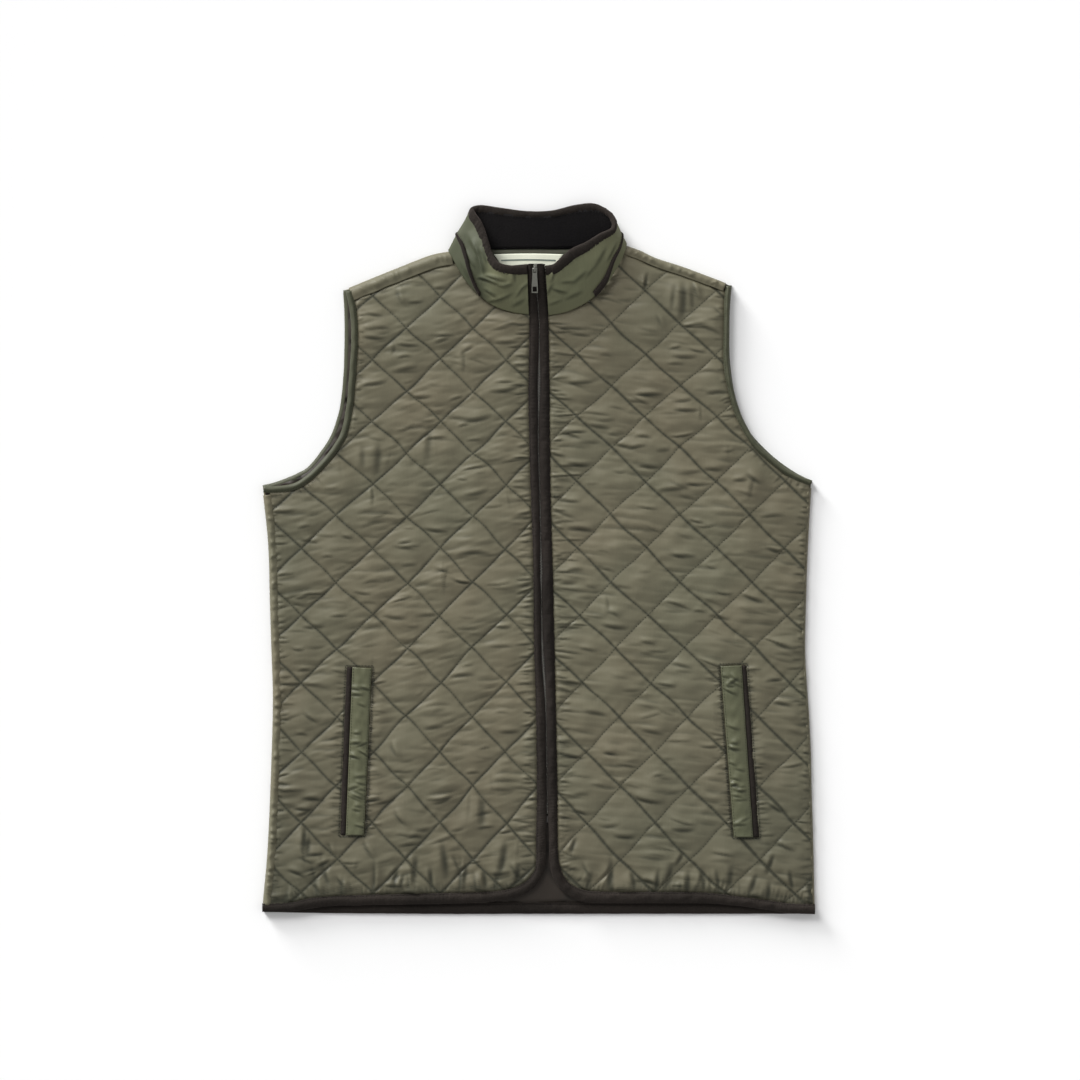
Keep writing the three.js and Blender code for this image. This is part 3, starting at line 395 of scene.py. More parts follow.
def spaced(line: Array, steps: int) -> Array:
    """The same line as evenly spaced points.

    Args:
        line: Its points, in two or three dimensions.
        steps: How many spaces there are between the new points.

    Returns:
        The new points.
    """
    run = np.concatenate([[0], np.cumsum(np.linalg.norm(np.diff(line, axis=0), axis=1))])
    at = np.linspace(0, run[-1], steps + 1)
    return np.stack([np.interp(at, run, line[:, k]) for k in range(line.shape[1])], axis=1)


def run_length(line: Array) -> float:
    """The length of a line of points."""
    return float(np.linalg.norm(np.diff(line, axis=0), axis=1).sum())


def shifted(line: Array, distance: float) -> Array:
    """A line moved sideways: a positive distance moves it to the left of its own direction."""
    heading = np.gradient(line, axis=0)
    heading /= np.linalg.norm(heading, axis=1)[:, None] + 1e-12
    return line + np.stack([-heading[:, 1], heading[:, 0]], axis=1) * distance


def laid_over(
    x: Array, y: Array, wavelength: float, turns: Array, rng: np.random.Generator,
    spread: tuple[float, float],
) -> Array:
    """Waves of given headings laid over each other, about -1 to 1.

    Args:
        x: Places.
        y: Places.
        wavelength: Their mean length, in the same units.
        turns: The heading of each wave, in radians.
        rng: Gives their phases and lengths.
        spread: The shortest and longest wave over the mean one.

    Returns:
        Their height at each place.
    """
    total = np.zeros(np.broadcast(x, y).shape)
    count = len(turns)
    for heading, phase, share in zip(
        turns, rng.uniform(0, TAU, count), rng.uniform(*spread, count)
    ):
        step = TAU / (wavelength * share)
        total = total + np.sin((x * math.cos(heading) + y * math.sin(heading)) * step + phase)
    return total / math.sqrt(count)


def ripple(x: Array, y: Array, wavelength: float, seed: int, count: int = 7) -> Array:
    """Smooth seeded unevenness, about -1 to 1."""
    rng = np.random.default_rng(seed)
    return laid_over(x, y, wavelength, rng.uniform(0, math.pi, count), rng, (0.6, 1.7))


def drawn(
    x: Array, y: Array, wavelength: float, lean: float, seed: int, count: int = 12
) -> Array:
    """Fine seeded wrinkles that run across a cloth at a lean in degrees, about -1 to 1."""
    rng = np.random.default_rng(seed)
    turns = np.radians(90 + lean + rng.normal(0, 9, count))
    return laid_over(x, y, wavelength, turns, rng, (0.65, 1.6))


def nearest_on(outline: Array, x: Array, y: Array) -> tuple[Array, Array, Array]:
    """The nearest place on a closed outline to each point.

    Args:
        outline: The outline's corners.
        x: The points.
        y: The points.

    Returns:
        The nearest places' x and y, and the distances.
    """
    best = np.full(x.shape, np.inf)
    near_x, near_y = x.copy(), y.copy()
    for a, b in zip(outline, np.roll(outline, -1, axis=0)):
        edge = b - a
        size = float(edge @ edge) or 1.0
        t = np.clip(((x - a[0]) * edge[0] + (y - a[1]) * edge[1]) / size, 0, 1)
        on_x, on_y = a[0] + edge[0] * t, a[1] + edge[1] * t
        distance = np.hypot(x - on_x, y - on_y)
        closer = distance < best
        best = np.where(closer, distance, best)
        near_x = np.where(closer, on_x, near_x)
        near_y = np.where(closer, on_y, near_y)
    return near_x, near_y, best


def inside(outline: Array, x: Array, y: Array) -> Array:
    """Whether each point lies inside a closed outline."""
    crossings = np.zeros(x.shape, bool)
    for a, b in zip(outline, np.roll(outline, -1, axis=0)):
        if a[1] == b[1]:
            continue
        spans = (a[1] > y) != (b[1] > y)
        at = a[0] + (y - a[1]) * (b[0] - a[0]) / (b[1] - a[1])
        crossings ^= spans & (x < at)
    return crossings


def creases(x: Array, y: Array, rows: Iterable[tuple[float, ...]]) -> tuple[Array, Array]:
    """Creases laid over a cloth: each is a ridge that falls off gently on one side only.

    Args:
        x: Places.
        y: Places.
        rows: x, y, heading, half length, half width, height and bend of each crease.

    Returns:
        The height, and how deep in a fold's shade each place lies, from 0 to 1.
    """
    total, shade = np.zeros(x.shape), np.zeros(x.shape)
    for cx, cy, heading, length, width, height, bend in rows:
        reach = length * 1.1 + 8
        near = np.flatnonzero((np.abs(x - cx) < reach) & (np.abs(y - cy) < reach))
        if not len(near):
            continue
        c, s = math.cos(math.radians(heading)), math.sin(math.radians(heading))
        dx, dy = x[near] - cx, y[near] - cy
        run = (dx * c + dy * s) / length
        off = (dy * c - dx * s - bend * run**2) / width
        ends = np.clip(1 - run**2, 0, 1) ** 1.4
        ridge = np.exp(-((off / np.where(off > 0, 1.5, 0.6)) ** 2))
        valley = np.exp(-(((off + 1.2) / 0.65) ** 2))
        total[near] += height * ends * (ridge - 0.55 * valley)
        shade[near] += min(height, 1.6) * 0.55 * ends * np.exp(-(((off + 1.0) / 0.6) ** 2))
    return total, np.clip(shade, 0, 1)


def raised(rows: Iterable[tuple[float, ...]], floor: Surface | None = None) -> Surface:
    """What a tucked cloth lies on: a floor with the creases laid over it, or flat under them."""

    def height(x: Array, y: Array) -> Array:
        """The height at each place."""
        lift = creases(x, y, rows)[0]
        return np.maximum(lift, 0) if floor is None else floor(x, y) + lift

    return height


def flat_floor(x: Array, y: Array) -> Array:
    """The floor that the vest lies on."""
    return x * 0


def back_top(x: Array, y: Array) -> Array:
    """The plain inside of the back, which the fronts lie on."""
    across = 1 - smooth(np.abs(x), HALF_WIDTH - LOFT_SIDE, HALF_WIDTH - LOFT_RIM)
    from_hem = smooth(y, HEM_Y + LOFT_RIM, HEM_Y + LOFT_END)
    from_shoulder = 1 - smooth(y, SHOULDER_Y - LOFT_END, SHOULDER_Y - LOFT_RIM)
    return BACK_EDGE_THICKNESS + BACK_LOFT * across * from_hem * from_shoulder


def front_inside(x: Array, y: Array) -> Array:
    """The underside of the fronts, with the soft folds that they lie in."""
    neck = np.hypot(x, np.minimum(y - NECK_FRONT_Y, 0)) / NECK_LIFT_RADIUS
    folds = 0
    for fx, fy, heading, length, width, height in FOLDS:
        c, s = math.cos(math.radians(heading)), math.sin(math.radians(heading))
        run = ((x - fx) * c + (y - fy) * s) / length
        off = ((y - fy) * c - (x - fx) * s) / width
        folds = folds + height * np.exp(-(run**2) - off**2)
    return back_top(x, y) + SEAM_GAP + NECK_LIFT * np.exp(-(neck**2)) + folds


def zip_floor(x: Array, y: Array) -> Array:
    """The floor under the zip, which climbs inside the collar from the neck seam."""
    climbing = 14.2 + (y - NECK_FRONT_Y) * math.tan(ZIP_SLOPE)
    return mix(front_inside(x, y), climbing, smooth(y, 246, NECK_FRONT_Y))


def read_points(mesh: Mesh) -> Array:
    """A mesh's points as an array of rows."""
    points = np.empty(len(mesh.vertices) * 3)
    mesh.vertices.foreach_get("co", points)
    return points.reshape(-1, 3)


def write_points(mesh: Mesh, points: Array) -> None:
    """Moves a mesh's points."""
    mesh.vertices.foreach_set("co", np.ascontiguousarray(points, dtype=np.float32).ravel())
    mesh.update()


def mark(mesh: Mesh, shade: Array) -> None:
    """Keeps how far its finish darkens each point of a cloth: painted shade, and dark seam lines.
    """
    layer = mesh.attributes.new("shaded", "FLOAT", "POINT")
    layer.data.foreach_set("value", shade.astype(np.float32))


def mark_tucks(mesh: Mesh, rows: Iterable[tuple[float, ...]], share: float) -> None:
    """Marks the shade of a cloth's tucks."""
    x, y, _ = read_points(mesh).T / MM
    mark(mesh, share * creases(x, y, rows)[1])


@contextmanager
def shaping(mesh: Mesh) -> Iterator[BMesh]:
    """Opens a mesh, new or made before, for bmesh operators and then writes it back."""
    bm = bmesh.new()
    bm.from_mesh(mesh)
    yield bm
    bm.to_mesh(mesh)
    bm.free()


def joined(bm: BMesh, merge: float = 1e-6) -> None:
    """Joins points that meet and takes out edges without length."""
    bmesh.ops.remove_doubles(bm, verts=bm.verts, dist=merge)
    bmesh.ops.dissolve_degenerate(bm, dist=1e-7, edges=bm.edges)


def rim(bm: BMesh) -> list[bmesh.types.BMEdge]:
    """The open edges."""
    return [e for e in bm.edges if e.is_boundary]


def new_points(made: dict[str, list[object]]) -> list[bmesh.types.BMVert]:
    """The points that an extrusion made."""
    return [g for g in made["geom"] if isinstance(g, bmesh.types.BMVert)]


def placed_grid(name: str, columns: int, rows: int, place: Surface) -> Mesh:
    """A grid whose points a function puts in space.

    Args:
        name: The mesh's name.
        columns: Faces along u.
        rows: Faces along v.
        place: Gives rows of x, y and z in millimetres for u and v, each from 0 to 1.

    Returns:
        The mesh, in metres.
    """
    mesh = bpy.data.meshes.new(name)
    with shaping(mesh) as bm:
        bmesh.ops.create_grid(bm, x_segments=columns, y_segments=rows, size=0.5)
    flat = read_points(mesh)
    spread = flat[:, :2] - flat[:, :2].min(axis=0)
    spread /= spread.max(axis=0)
    write_points(mesh, place(spread[:, 0], spread[:, 1]) * MM)
    return mesh


def closed(mesh: Mesh) -> Mesh:
    """Joins a rolled-up grid where its edges meet, caps its ends and turns its faces outwards."""
    with shaping(mesh) as bm:
        joined(bm, 2e-6)
        bmesh.ops.holes_fill(bm, edges=rim(bm), sides=0)
        bmesh.ops.recalc_face_normals(bm, faces=bm.faces)
    return mesh


def hemmed(mesh: Mesh, level: Surface) -> None:
    """Turns a sheet's edges to a level that a function gives, and closes it there."""
    with shaping(mesh) as bm:
        joined(bm)
        low = new_points(bmesh.ops.extrude_edge_only(bm, edges=rim(bm)))
        spots = np.array([v.co[:] for v in low]) / MM
        for vert, z in zip(low, level(spots[:, 0], spots[:, 1])):
            vert.co.z = z * MM
        filled = bmesh.ops.holes_fill(bm, edges=rim(bm), sides=0)
        bmesh.ops.triangulate(bm, faces=filled["faces"])
        bmesh.ops.recalc_face_normals(bm, faces=bm.faces)


def thickened(mesh: Mesh, thickness: float) -> Mesh:
    """Gives a sheet its thickness, in millimetres, on its underside, as a closed wall."""
    with shaping(mesh) as bm:
        joined(bm)
        low = new_points(bmesh.ops.extrude_face_region(bm, geom=list(bm.faces)))
        bmesh.ops.translate(bm, vec=Vector((0, 0, -thickness * MM)), verts=low)
        bmesh.ops.recalc_face_normals(bm, faces=bm.faces)
    return mesh


def lattice(
    name: str, spans: Spans, steps: int, outline: Array,
    spot: Callable[[Array, Array], tuple[Array, Array]], cluster: float = 0.0,
) -> tuple[Mesh, Array, Array, Array, Array]:
    """A flat lattice of quilting, trimmed to an outline.

    Args:
        name: The mesh's name.
        spans: The first and last p, and the first and last q.
        steps: Faces along one side of a diamond.
        outline: What it is trimmed to.
        spot: Gives x and y for p and q.
        cluster: How strongly points gather towards the lines of stitching.

    Returns:
        The mesh, and each point's p, q, x and y, with the outermost drawn to the outline.
    """

    def counted(share: Array, span: tuple[int, int]) -> Array:
        """Places along one side of the lattice."""
        t = mix(*span, share)
        return t - cluster * np.sin(TAU * t) / TAU

    mesh = placed_grid(
        name, *((b - a) * steps for a, b in spans),
        lambda u, v: np.stack([counted(u, spans[0]), counted(v, spans[1]), u * 0], axis=1),
    )
    p, q, _ = read_points(mesh).T / MM
    kept = inside(outline, *spot(p, q))
    with shaping(mesh) as bm:
        for vert, keep in zip(bm.verts, kept):
            vert.tag = bool(keep)
        outer = [f for f in bm.faces if not any(v.tag for v in f.verts)]
        bmesh.ops.delete(bm, geom=outer, context="FACES")
    p, q, _ = read_points(mesh).T / MM
    x, y = spot(p, q)
    kept = inside(outline, x, y)
    near_x, near_y, _ = nearest_on(outline, x, y)
    return mesh, p, q, np.where(kept, x, near_x), np.where(kept, y, near_y)


def bevelled(bm: BMesh, edges: list[bmesh.types.BMEdge], by: float, segments: int) -> None:
    """Rounds edges."""
    bmesh.ops.bevel(
        bm, geom=edges, offset=by, segments=segments, profile=0.5, affect="EDGES", material=-1,
        clamp_overlap=True,
    )


def wear(
    name: str, mesh: Mesh, material: Material,
    stands_for: Iterable[str] = (), body: Body = Body.VEST,
) -> bpy.types.Object:
    """Puts a finished mesh on the vest as a piece.

    Args:
        name: The piece's name.
        mesh: Its mesh, in place.
        material: Its finish.
        stands_for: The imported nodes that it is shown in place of.
        body: The body that it moves with.

    Returns:
        The piece.
    """
    mesh.polygons.foreach_set("use_smooth", [True] * len(mesh.polygons))
    mesh.materials.clear()
    mesh.materials.append(material)
    piece = bpy.data.objects.new(name, mesh)
    bpy.context.scene.collection.objects.link(piece)
    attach(piece, body.value)
    nodes = list(stands_for)
    if nodes:
        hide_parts(*nodes)
    LOG.info("piece %s: %d triangles", name, sum(len(p.vertices) - 2 for p in mesh.polygons))
    return piece


def gathered(
    name: str, places: list[Matrix], add: Callable[[BMesh, Matrix], object], batch: int = 150
) -> Mesh:
    """One mesh of many small shapes, each made in its own place.

    Args:
        name: The mesh's name.
        places: Where each goes.
        add: Adds one shape to a bmesh.
        batch: How many are made at a time.

    Returns:
        The mesh.
    """
    made = bpy.data.meshes.new(name)
    with shaping(made) as whole:
        for start in range(0, len(places), batch):
            part = bpy.data.meshes.new(name)
            with shaping(part) as bm:
                for place in places[start:start + batch]:
                    add(bm, place)
            whole.from_mesh(part)
            bpy.data.meshes.remove(part)
    return made


class Shader:
    """A short way to lay out a material's nodes."""

    def __init__(self, tree: bpy.types.NodeTree) -> None:
        """Keeps the node tree that it lays out."""
        self.tree = tree

    def put(self, value: object, end: Socket) -> None:
        """Links a socket to an input, or sets a plain value on it."""
        if isinstance(value, Socket):
            self.tree.links.new(value, end)
        else:
            end.default_value = value

    def node(self, kind: str, *given: object, **values: object) -> bpy.types.Node:
        """Adds a node.

        Args:
            kind: The node's type, without ShaderNode before it.
            given: What its first inputs get: sockets or plain values.
            values: Its properties, or what its inputs get, with spaces in names written as _.

        Returns:
            The node.
        """
        made = self.tree.nodes.new(kind if kind.startswith("NodeGroup") else "ShaderNode" + kind)
        for key, value in values.items():
            if hasattr(made, key):
                setattr(made, key, value)
            else:
                self.put(value, made.inputs[key.replace("_", " ")])
        for end, value in zip(made.inputs, given):
            self.put(value, end)
        return made

    def math(self, operation: str, *given: object) -> Socket:
        """The result of a sum on sockets or numbers."""
        return self.node("Math", *given, operation=operation).outputs[0]

    def noise(self, where: Socket, scale: object, detail: float) -> Socket:
        """Soft noise at a place."""
        return self.node("TexNoise", where, Scale=scale, Detail=detail).outputs["Fac"]

    def mixed(self, share: object, a: object, b: object, blend: str = "MIX") -> Socket:
        """Mixes two colours.

        Args:
            share: How much of the second.
            a: The first, a socket or a colour.
            b: The second, a socket or a colour.
            blend: How they are laid over each other.

        Returns:
            The mixed colour.
        """
        made = self.node("Mix", share, data_type="RGBA", blend_type=blend)
        self.put(a, made.inputs[6])
        self.put(b, made.inputs[7])
        return made.outputs[2]

    def sum(self, *terms: tuple[Socket, float]) -> Socket:
        """Adds up values, each times its own weight."""
        total: object = 0
        for value, weight in terms:
            total = self.math("MULTIPLY_ADD", value, weight, total)
        return total


def new_group(name: str, inputs: dict[str, float], outputs: list[str]) -> bpy.types.NodeTree:
    """A shader node group with number inputs and outputs."""
    tree = bpy.data.node_groups.new(name, "ShaderNodeTree")
    for key, value in inputs.items():
        socket = tree.interface.new_socket(key, in_out="INPUT", socket_type="NodeSocketFloat")
        socket.default_value = value
    for key in outputs:
        tree.interface.new_socket(key, in_out="OUTPUT", socket_type="NodeSocketFloat")
    return tree


def grouped(lay: Shader, name: str, **values: float) -> bpy.types.NodeOutputs:
    """Lays a shared group in a material, and gives its outputs."""
    return lay.node("Group", node_tree=bpy.data.node_groups[name], **values).outputs


def start_material(name: str, **values: object) -> tuple[Material, Shader, bpy.types.NodeInputs]:
    """A new material with one Principled shader.

    Args:
        name: The material's name.
        values: What its inputs get, with spaces in their names written as _.

    Returns:
        The material, what lays out its nodes, and the shader's inputs.
    """
    material = bpy.data.materials.new(name)
    material.use_nodes = True
    material.node_tree.nodes.clear()
    lay = Shader(material.node_tree)
    surface = lay.node("BsdfPrincipled", **values)
    lay.node("OutputMaterial", surface.outputs["BSDF"])
    return material, lay, surface.inputs


def bumped(lay: Shader, depth: float, **values: Socket) -> Socket:
    """The normals of a relief whose depth is in millimetres."""
    return lay.node("Bump", Strength=1.0, Distance=depth * MM, **values).outputs["Normal"]


def weave_group() -> None:
    """Crossing threads: their relief, with the unevenness of woven cloth."""
    tree = new_group("cloth_weave", {"Warp": 2400.0, "Weft": 1700.0, "Slub": 0.5}, ["Height"])
    lay = Shader(tree)
    source = lay.node("NodeGroupInput").outputs
    where = lay.node("TexCoord").outputs["Object"]
    waves = [
        lay.node(
            "TexWave", where, wave_type="BANDS", bands_direction=axis, Distortion=0.6, Detail=1,
            Scale=lay.math("DIVIDE", source[key], TAU),
        ).outputs["Fac"]
        for axis, key in (("X", "Warp"), ("Y", "Weft"))
    ]
    uneven = lay.math("MULTIPLY", lay.noise(where, 900.0, 2.0), source["Slub"])
    lay.node("NodeGroupOutput", lay.sum((waves[0], 0.5), (waves[1], 0.4), (uneven, 1.0)))


def mottle_group() -> None:
    """Soft patches and fine flecks: where dye, handling and light wear change a cloth's colour."""
    tree = new_group(
        "cloth_mottle", {"Patch": 9.0, "Fleck": 700.0}, ["Patches", "Flecks", "Streaks"]
    )
    lay = Shader(tree)
    source = lay.node("NodeGroupInput").outputs
    where = lay.node("TexCoord").outputs["Object"]
    stretched = lay.node("Mapping", where, Scale=(900.0, 45.0, 200.0)).outputs["Vector"]
    lay.node(
        "NodeGroupOutput", lay.noise(where, source["Patch"], 3.0),
        lay.noise(where, source["Fleck"], 2.0), lay.noise(stretched, 1.0, 2.0),
    )


@dataclass(frozen=True)
class ClothFinish:
    """One cloth of the vest.

    The colours are linear. Threads are counted per metre, and depths are in millimetres.
    """

    name: str
    color: Spot
    patch_color: Spot
    roughness: float = 0.55
    sheen: float = 0.2
    sheen_tint: Spot = (0.8, 0.8, 0.7)
    specular: float = 0.35
    warp: float = 2400.0
    weft: float = 1700.0
    weave_depth: float = 0.03
    nap_depth: float = 0.0
    fleck: float = 0.12
    streak: float = 0.12
    # How strongly the marked painted shade of folds and seams, with their dark seam lines, darkens
    # the colour.
    painted_shade: float = 0.0

    def make(self) -> Material:
        """Builds the material."""
        material, lay, cloth = start_material(
            self.name, Sheen_Weight=self.sheen, Sheen_Roughness=0.4,
            Sheen_Tint=(*self.sheen_tint, 1), Specular_IOR_Level=self.specular,
        )
        mottle = grouped(lay, "cloth_mottle")
        spread = lay.node("MapRange", mottle["Patches"], From_Min=0.35, From_Max=0.65)
        colour = lay.mixed(spread.outputs["Result"], (*self.color, 1), (*self.patch_color, 1))
        shade = lay.sum((mottle["Flecks"], self.fleck * 2), (mottle["Streaks"], self.streak * 2))
        level = lay.math("ADD", shade, 1 - self.fleck - self.streak)
        grey = lay.node("CombineColor", level, level, level).outputs[0]
        colour = lay.mixed(1.0, colour, grey, "MULTIPLY")
        # Painted shade: the colour goes darker where the mesh marks folds, hollows and seams.
        if self.painted_shade:
            seam = lay.node("Attribute", attribute_name="shaded").outputs["Fac"]
            dark = tuple(c * kept for c, kept in zip(self.color, SHADED_SHARE))
            colour = lay.mixed(lay.math("MULTIPLY", seam, self.painted_shade), colour, (*dark, 1))
        lay.put(colour, cloth["Base Color"])
        low, high = self.roughness - 0.07, self.roughness + 0.07
        rough = lay.node("MapRange", mottle["Streaks"], To_Min=low, To_Max=high)
        lay.put(rough.outputs["Result"], cloth["Roughness"])
        weave = grouped(lay, "cloth_weave", Warp=self.warp, Weft=self.weft)
        normal = bumped(lay, self.weave_depth, Height=weave["Height"])
        if self.nap_depth:
            normal = bumped(lay, self.nap_depth, Height=mottle["Flecks"], Normal=normal)
        lay.put(normal, cloth["Normal"])
        return material


@dataclass(frozen=True)
class MetalFinish:
    """The zip's dull grey metal, a little brighter where hands rub it."""

    name: str
    color: Spot
    roughness: float = 0.38

    def make(self) -> Material:
        """Builds the material."""
        material, lay, metal = start_material(self.name, Metallic=0.85)
        mottle = grouped(lay, "cloth_mottle", Patch=400.0)
        dark = tuple(c * 0.72 for c in self.color)
        lay.put(lay.mixed(mottle["Patches"], (*dark, 1), (*self.color, 1)), metal["Base Color"])
        low, high = self.roughness - 0.08, self.roughness + 0.12
        rough = lay.node("MapRange", mottle["Flecks"], To_Min=low, To_Max=high)
        lay.put(rough.outputs["Result"], metal["Roughness"])
        lay.put(bumped(lay, 0.01, Height=mottle["Flecks"]), metal["Normal"])
        return material


FINISHES = {
    "shell": ClothFinish(
        "shell_satin_taupe", (0.137, 0.121, 0.077), (0.124, 0.117, 0.075), sheen=0.1,
        specular=0.3, painted_shade=0.9, streak=0.06, fleck=0.05,
    ),
    "lining": ClothFinish(
        "lining_brown", (0.027, 0.0195, 0.0135), (0.022, 0.016, 0.011), roughness=0.6,
        sheen=0.1, painted_shade=0.5,
    ),
    "olive": ClothFinish(
        "collar_olive", (0.142, 0.144, 0.080), (0.123, 0.130, 0.072), roughness=0.62,
        sheen=0.06, specular=0.3, streak=0.1, fleck=0.06, painted_shade=0.8,
    ),
    "welt": ClothFinish(
        "welt_olive", (0.096, 0.098, 0.053), (0.076, 0.081, 0.044), roughness=0.5, sheen=0.12,
        painted_shade=0.8,
    ),
    "binding": ClothFinish(
        "binding_brushed_brown", (0.025, 0.0205, 0.0175), (0.016, 0.0135, 0.0115),
        roughness=0.95, sheen=0.28, sheen_tint=(0.45, 0.37, 0.33), specular=0.1, nap_depth=0.5,
        fleck=0.5,
    ),
    "armhole": ClothFinish(
        "armhole_olive", (0.057, 0.059, 0.033), (0.048, 0.051, 0.028), roughness=0.6, sheen=0.12,
    ),
    "facing": ClothFinish(
        "neck_facing_olive", (0.050, 0.052, 0.033), (0.044, 0.046, 0.029), roughness=0.7,
        sheen=0.1,
    ),
    "ribbed": ClothFinish(
        "collar_lining_ribbed", (0.010, 0.009, 0.009), (0.008, 0.0075, 0.008), roughness=0.95,
        sheen_tint=(0.33, 0.33, 0.35), specular=0.08, nap_depth=0.4, fleck=0.4, streak=0.25,
    ),
    "label": ClothFinish(
        "label_off_white", (0.84, 0.86, 0.71), (0.79, 0.81, 0.66), roughness=0.6, sheen=0.1,
        streak=0.04, fleck=0.04,
    ),
    "stripe": ClothFinish(
        "label_stripe", (0.20, 0.24, 0.21), (0.18, 0.22, 0.19), roughness=0.6
    ),
    "thread": ClothFinish(
        "thread_olive", (0.036, 0.037, 0.024), (0.032, 0.033, 0.021), roughness=0.6, sheen=0.0,
        specular=0.2, warp=9000.0, weft=3000.0,
    ),
    "dark_thread": ClothFinish(
        "thread_dark", (0.009, 0.008, 0.007), (0.008, 0.007, 0.006), roughness=0.7, sheen=0.0,
        specular=0.1, warp=9000.0, weft=3000.0,
    ),
    "metal": MetalFinish("zip_grey", (0.30, 0.30, 0.26)),
    "dark_metal": MetalFinish("zip_box_dark", (0.09, 0.085, 0.08)),
    "tooth": MetalFinish("zip_teeth_grey", (0.34, 0.33, 0.30)),
}


class Wardrobe:
    """Every finish of the vest, made once and kept under its own name."""

    shell: Material
    lining: Material
    olive: Material
    welt: Material
    binding: Material
    armhole: Material
    facing: Material
    ribbed: Material
    label: Material
    stripe: Material
    thread: Material
    dark_thread: Material
    metal: Material
    dark_metal: Material
    tooth: Material

    def __init__(self) -> None:
        """Builds the shared node groups and then the finishes."""
        weave_group()
        mottle_group()
        for key, finish in FINISHES.items():
            setattr(self, key, finish.make())


@dataclass
class Stitching:
    """Runs of thread, gathered and then made as one piece for each thread.

    Args:
        length: Of one stitch, in millimetres.
        gap: Between two stitches.
        radius: Of the thread.
    """

    name: str
    material: Material
    length: float = 2.5
    gap: float = 0.9
    radius: float = 0.26
    places: list[Matrix] = field(default_factory=list)

    def run(self, x: Array, y: Array, z: Array) -> None:
        """Sews along a line of points, in millimetres."""
        line = np.stack([x, y, z], axis=1)
        steps = int(run_length(line) / (self.length + self.gap))
        if steps < 1:
            return
        knots = spaced(line, steps)
        size = Matrix.Diagonal((self.length / 2, self.radius * 1.2, self.radius, 1))
        for a, b in zip(knots[:-1], knots[1:]):
            turn = Vector(b - a).to_track_quat("X", "Z").to_matrix().to_4x4()
            middle = Matrix.Translation(Vector((a + b) / 2) * MM)
            self.places.append(middle @ turn @ size @ Matrix.Scale(MM, 4))

    def make(self) -> None:
        """Makes all that was sewn as one piece."""
        mesh = gathered(
            self.name, self.places,
            lambda bm, place: bmesh.ops.create_icosphere(
                bm, subdivisions=1, radius=1.0, matrix=place
            ),
        )
        wear(self.name, mesh, self.material)


@dataclass
class Seams:
    """The lines where the pieces of one side meet, sampled from the tables."""

    side: Side

    def __post_init__(self) -> None:
        """Samples the lines."""
        turn = self.side.turn
        self.side_edge = spaced(spline(SIDE_EDGE[self.side]), 120)
        self.side_seam = shifted(self.side_edge, turn * SIDE_ROLL_WIDTH)
        self.shoulder_edge = spaced(spline(SHOULDER_EDGE[self.side]), 48)
        self.shoulder_seam = shifted(self.shoulder_edge, -turn * SHOULDER_WIDTH[self.side])
        self.armhole_seam = spaced(spline(ARMHOLE_FRONT[self.side]), 90)
        self.armhole_free = shifted(self.armhole_seam, -turn * ARMHOLE_WIDTH[self.side])
        self.armhole_back = spaced(spline(ARMHOLE_BACK[self.side]), 90)
        self.neck_seam = spaced(spline(NECK_SEAM[self.side]), 48)
        rows = np.asarray(FRONT_BINDING[self.side], float)
        rows[0, [1, 3]] += BINDING_RISE
        self.binding_panel = spline(rows[:, :2], 12)
        self.binding_free = spline(rows[:, 2:], 12)
        for middle, reach, gape in GAPES:
            along_edge = (self.binding_free[:, 1] - middle) / reach
            self.binding_free[:, 0] -= turn * gape * np.exp(-(along_edge**2))

    def front_outline(self, tuck: float = 1.2) -> Array:
        """The outline of the quilted front, with its edges tucked under the bindings."""
        turn = self.side.turn
        seam = self.shoulder_seam[np.argsort(self.shoulder_seam[:, 0])]

        def below_shoulder(line: Array) -> Array:
            """The points of a line that lie below the shoulder seam."""
            return line[line[:, 1] < np.interp(line[:, 0], seam[:, 0], seam[:, 1]) - 0.5]

        neck = below_shoulder(self.neck_seam)[::-1]
        armhole = below_shoulder(shifted(self.armhole_seam, -turn * tuck))
        side_line = shifted(self.side_edge, turn * SIDE_ROLL_SHOWN[self.side])
        armhole = armhole[np.abs(armhole[:, 0]) < abs(side_line[0, 0]) - 0.2]
        side_line = side_line[side_line[:, 1] < armhole[-1, 1] - 0.2]
        rows = shifted(self.binding_panel, turn * tuck)
        keep = (rows[:, 1] < NECK_FRONT_Y - 8) & (np.abs(rows[:, 0]) < HALF_WIDTH - 10)
        return np.concatenate(
            [neck, self.shoulder_seam[::-1][2:-2], armhole, side_line, rows[keep][::-1]]
        )


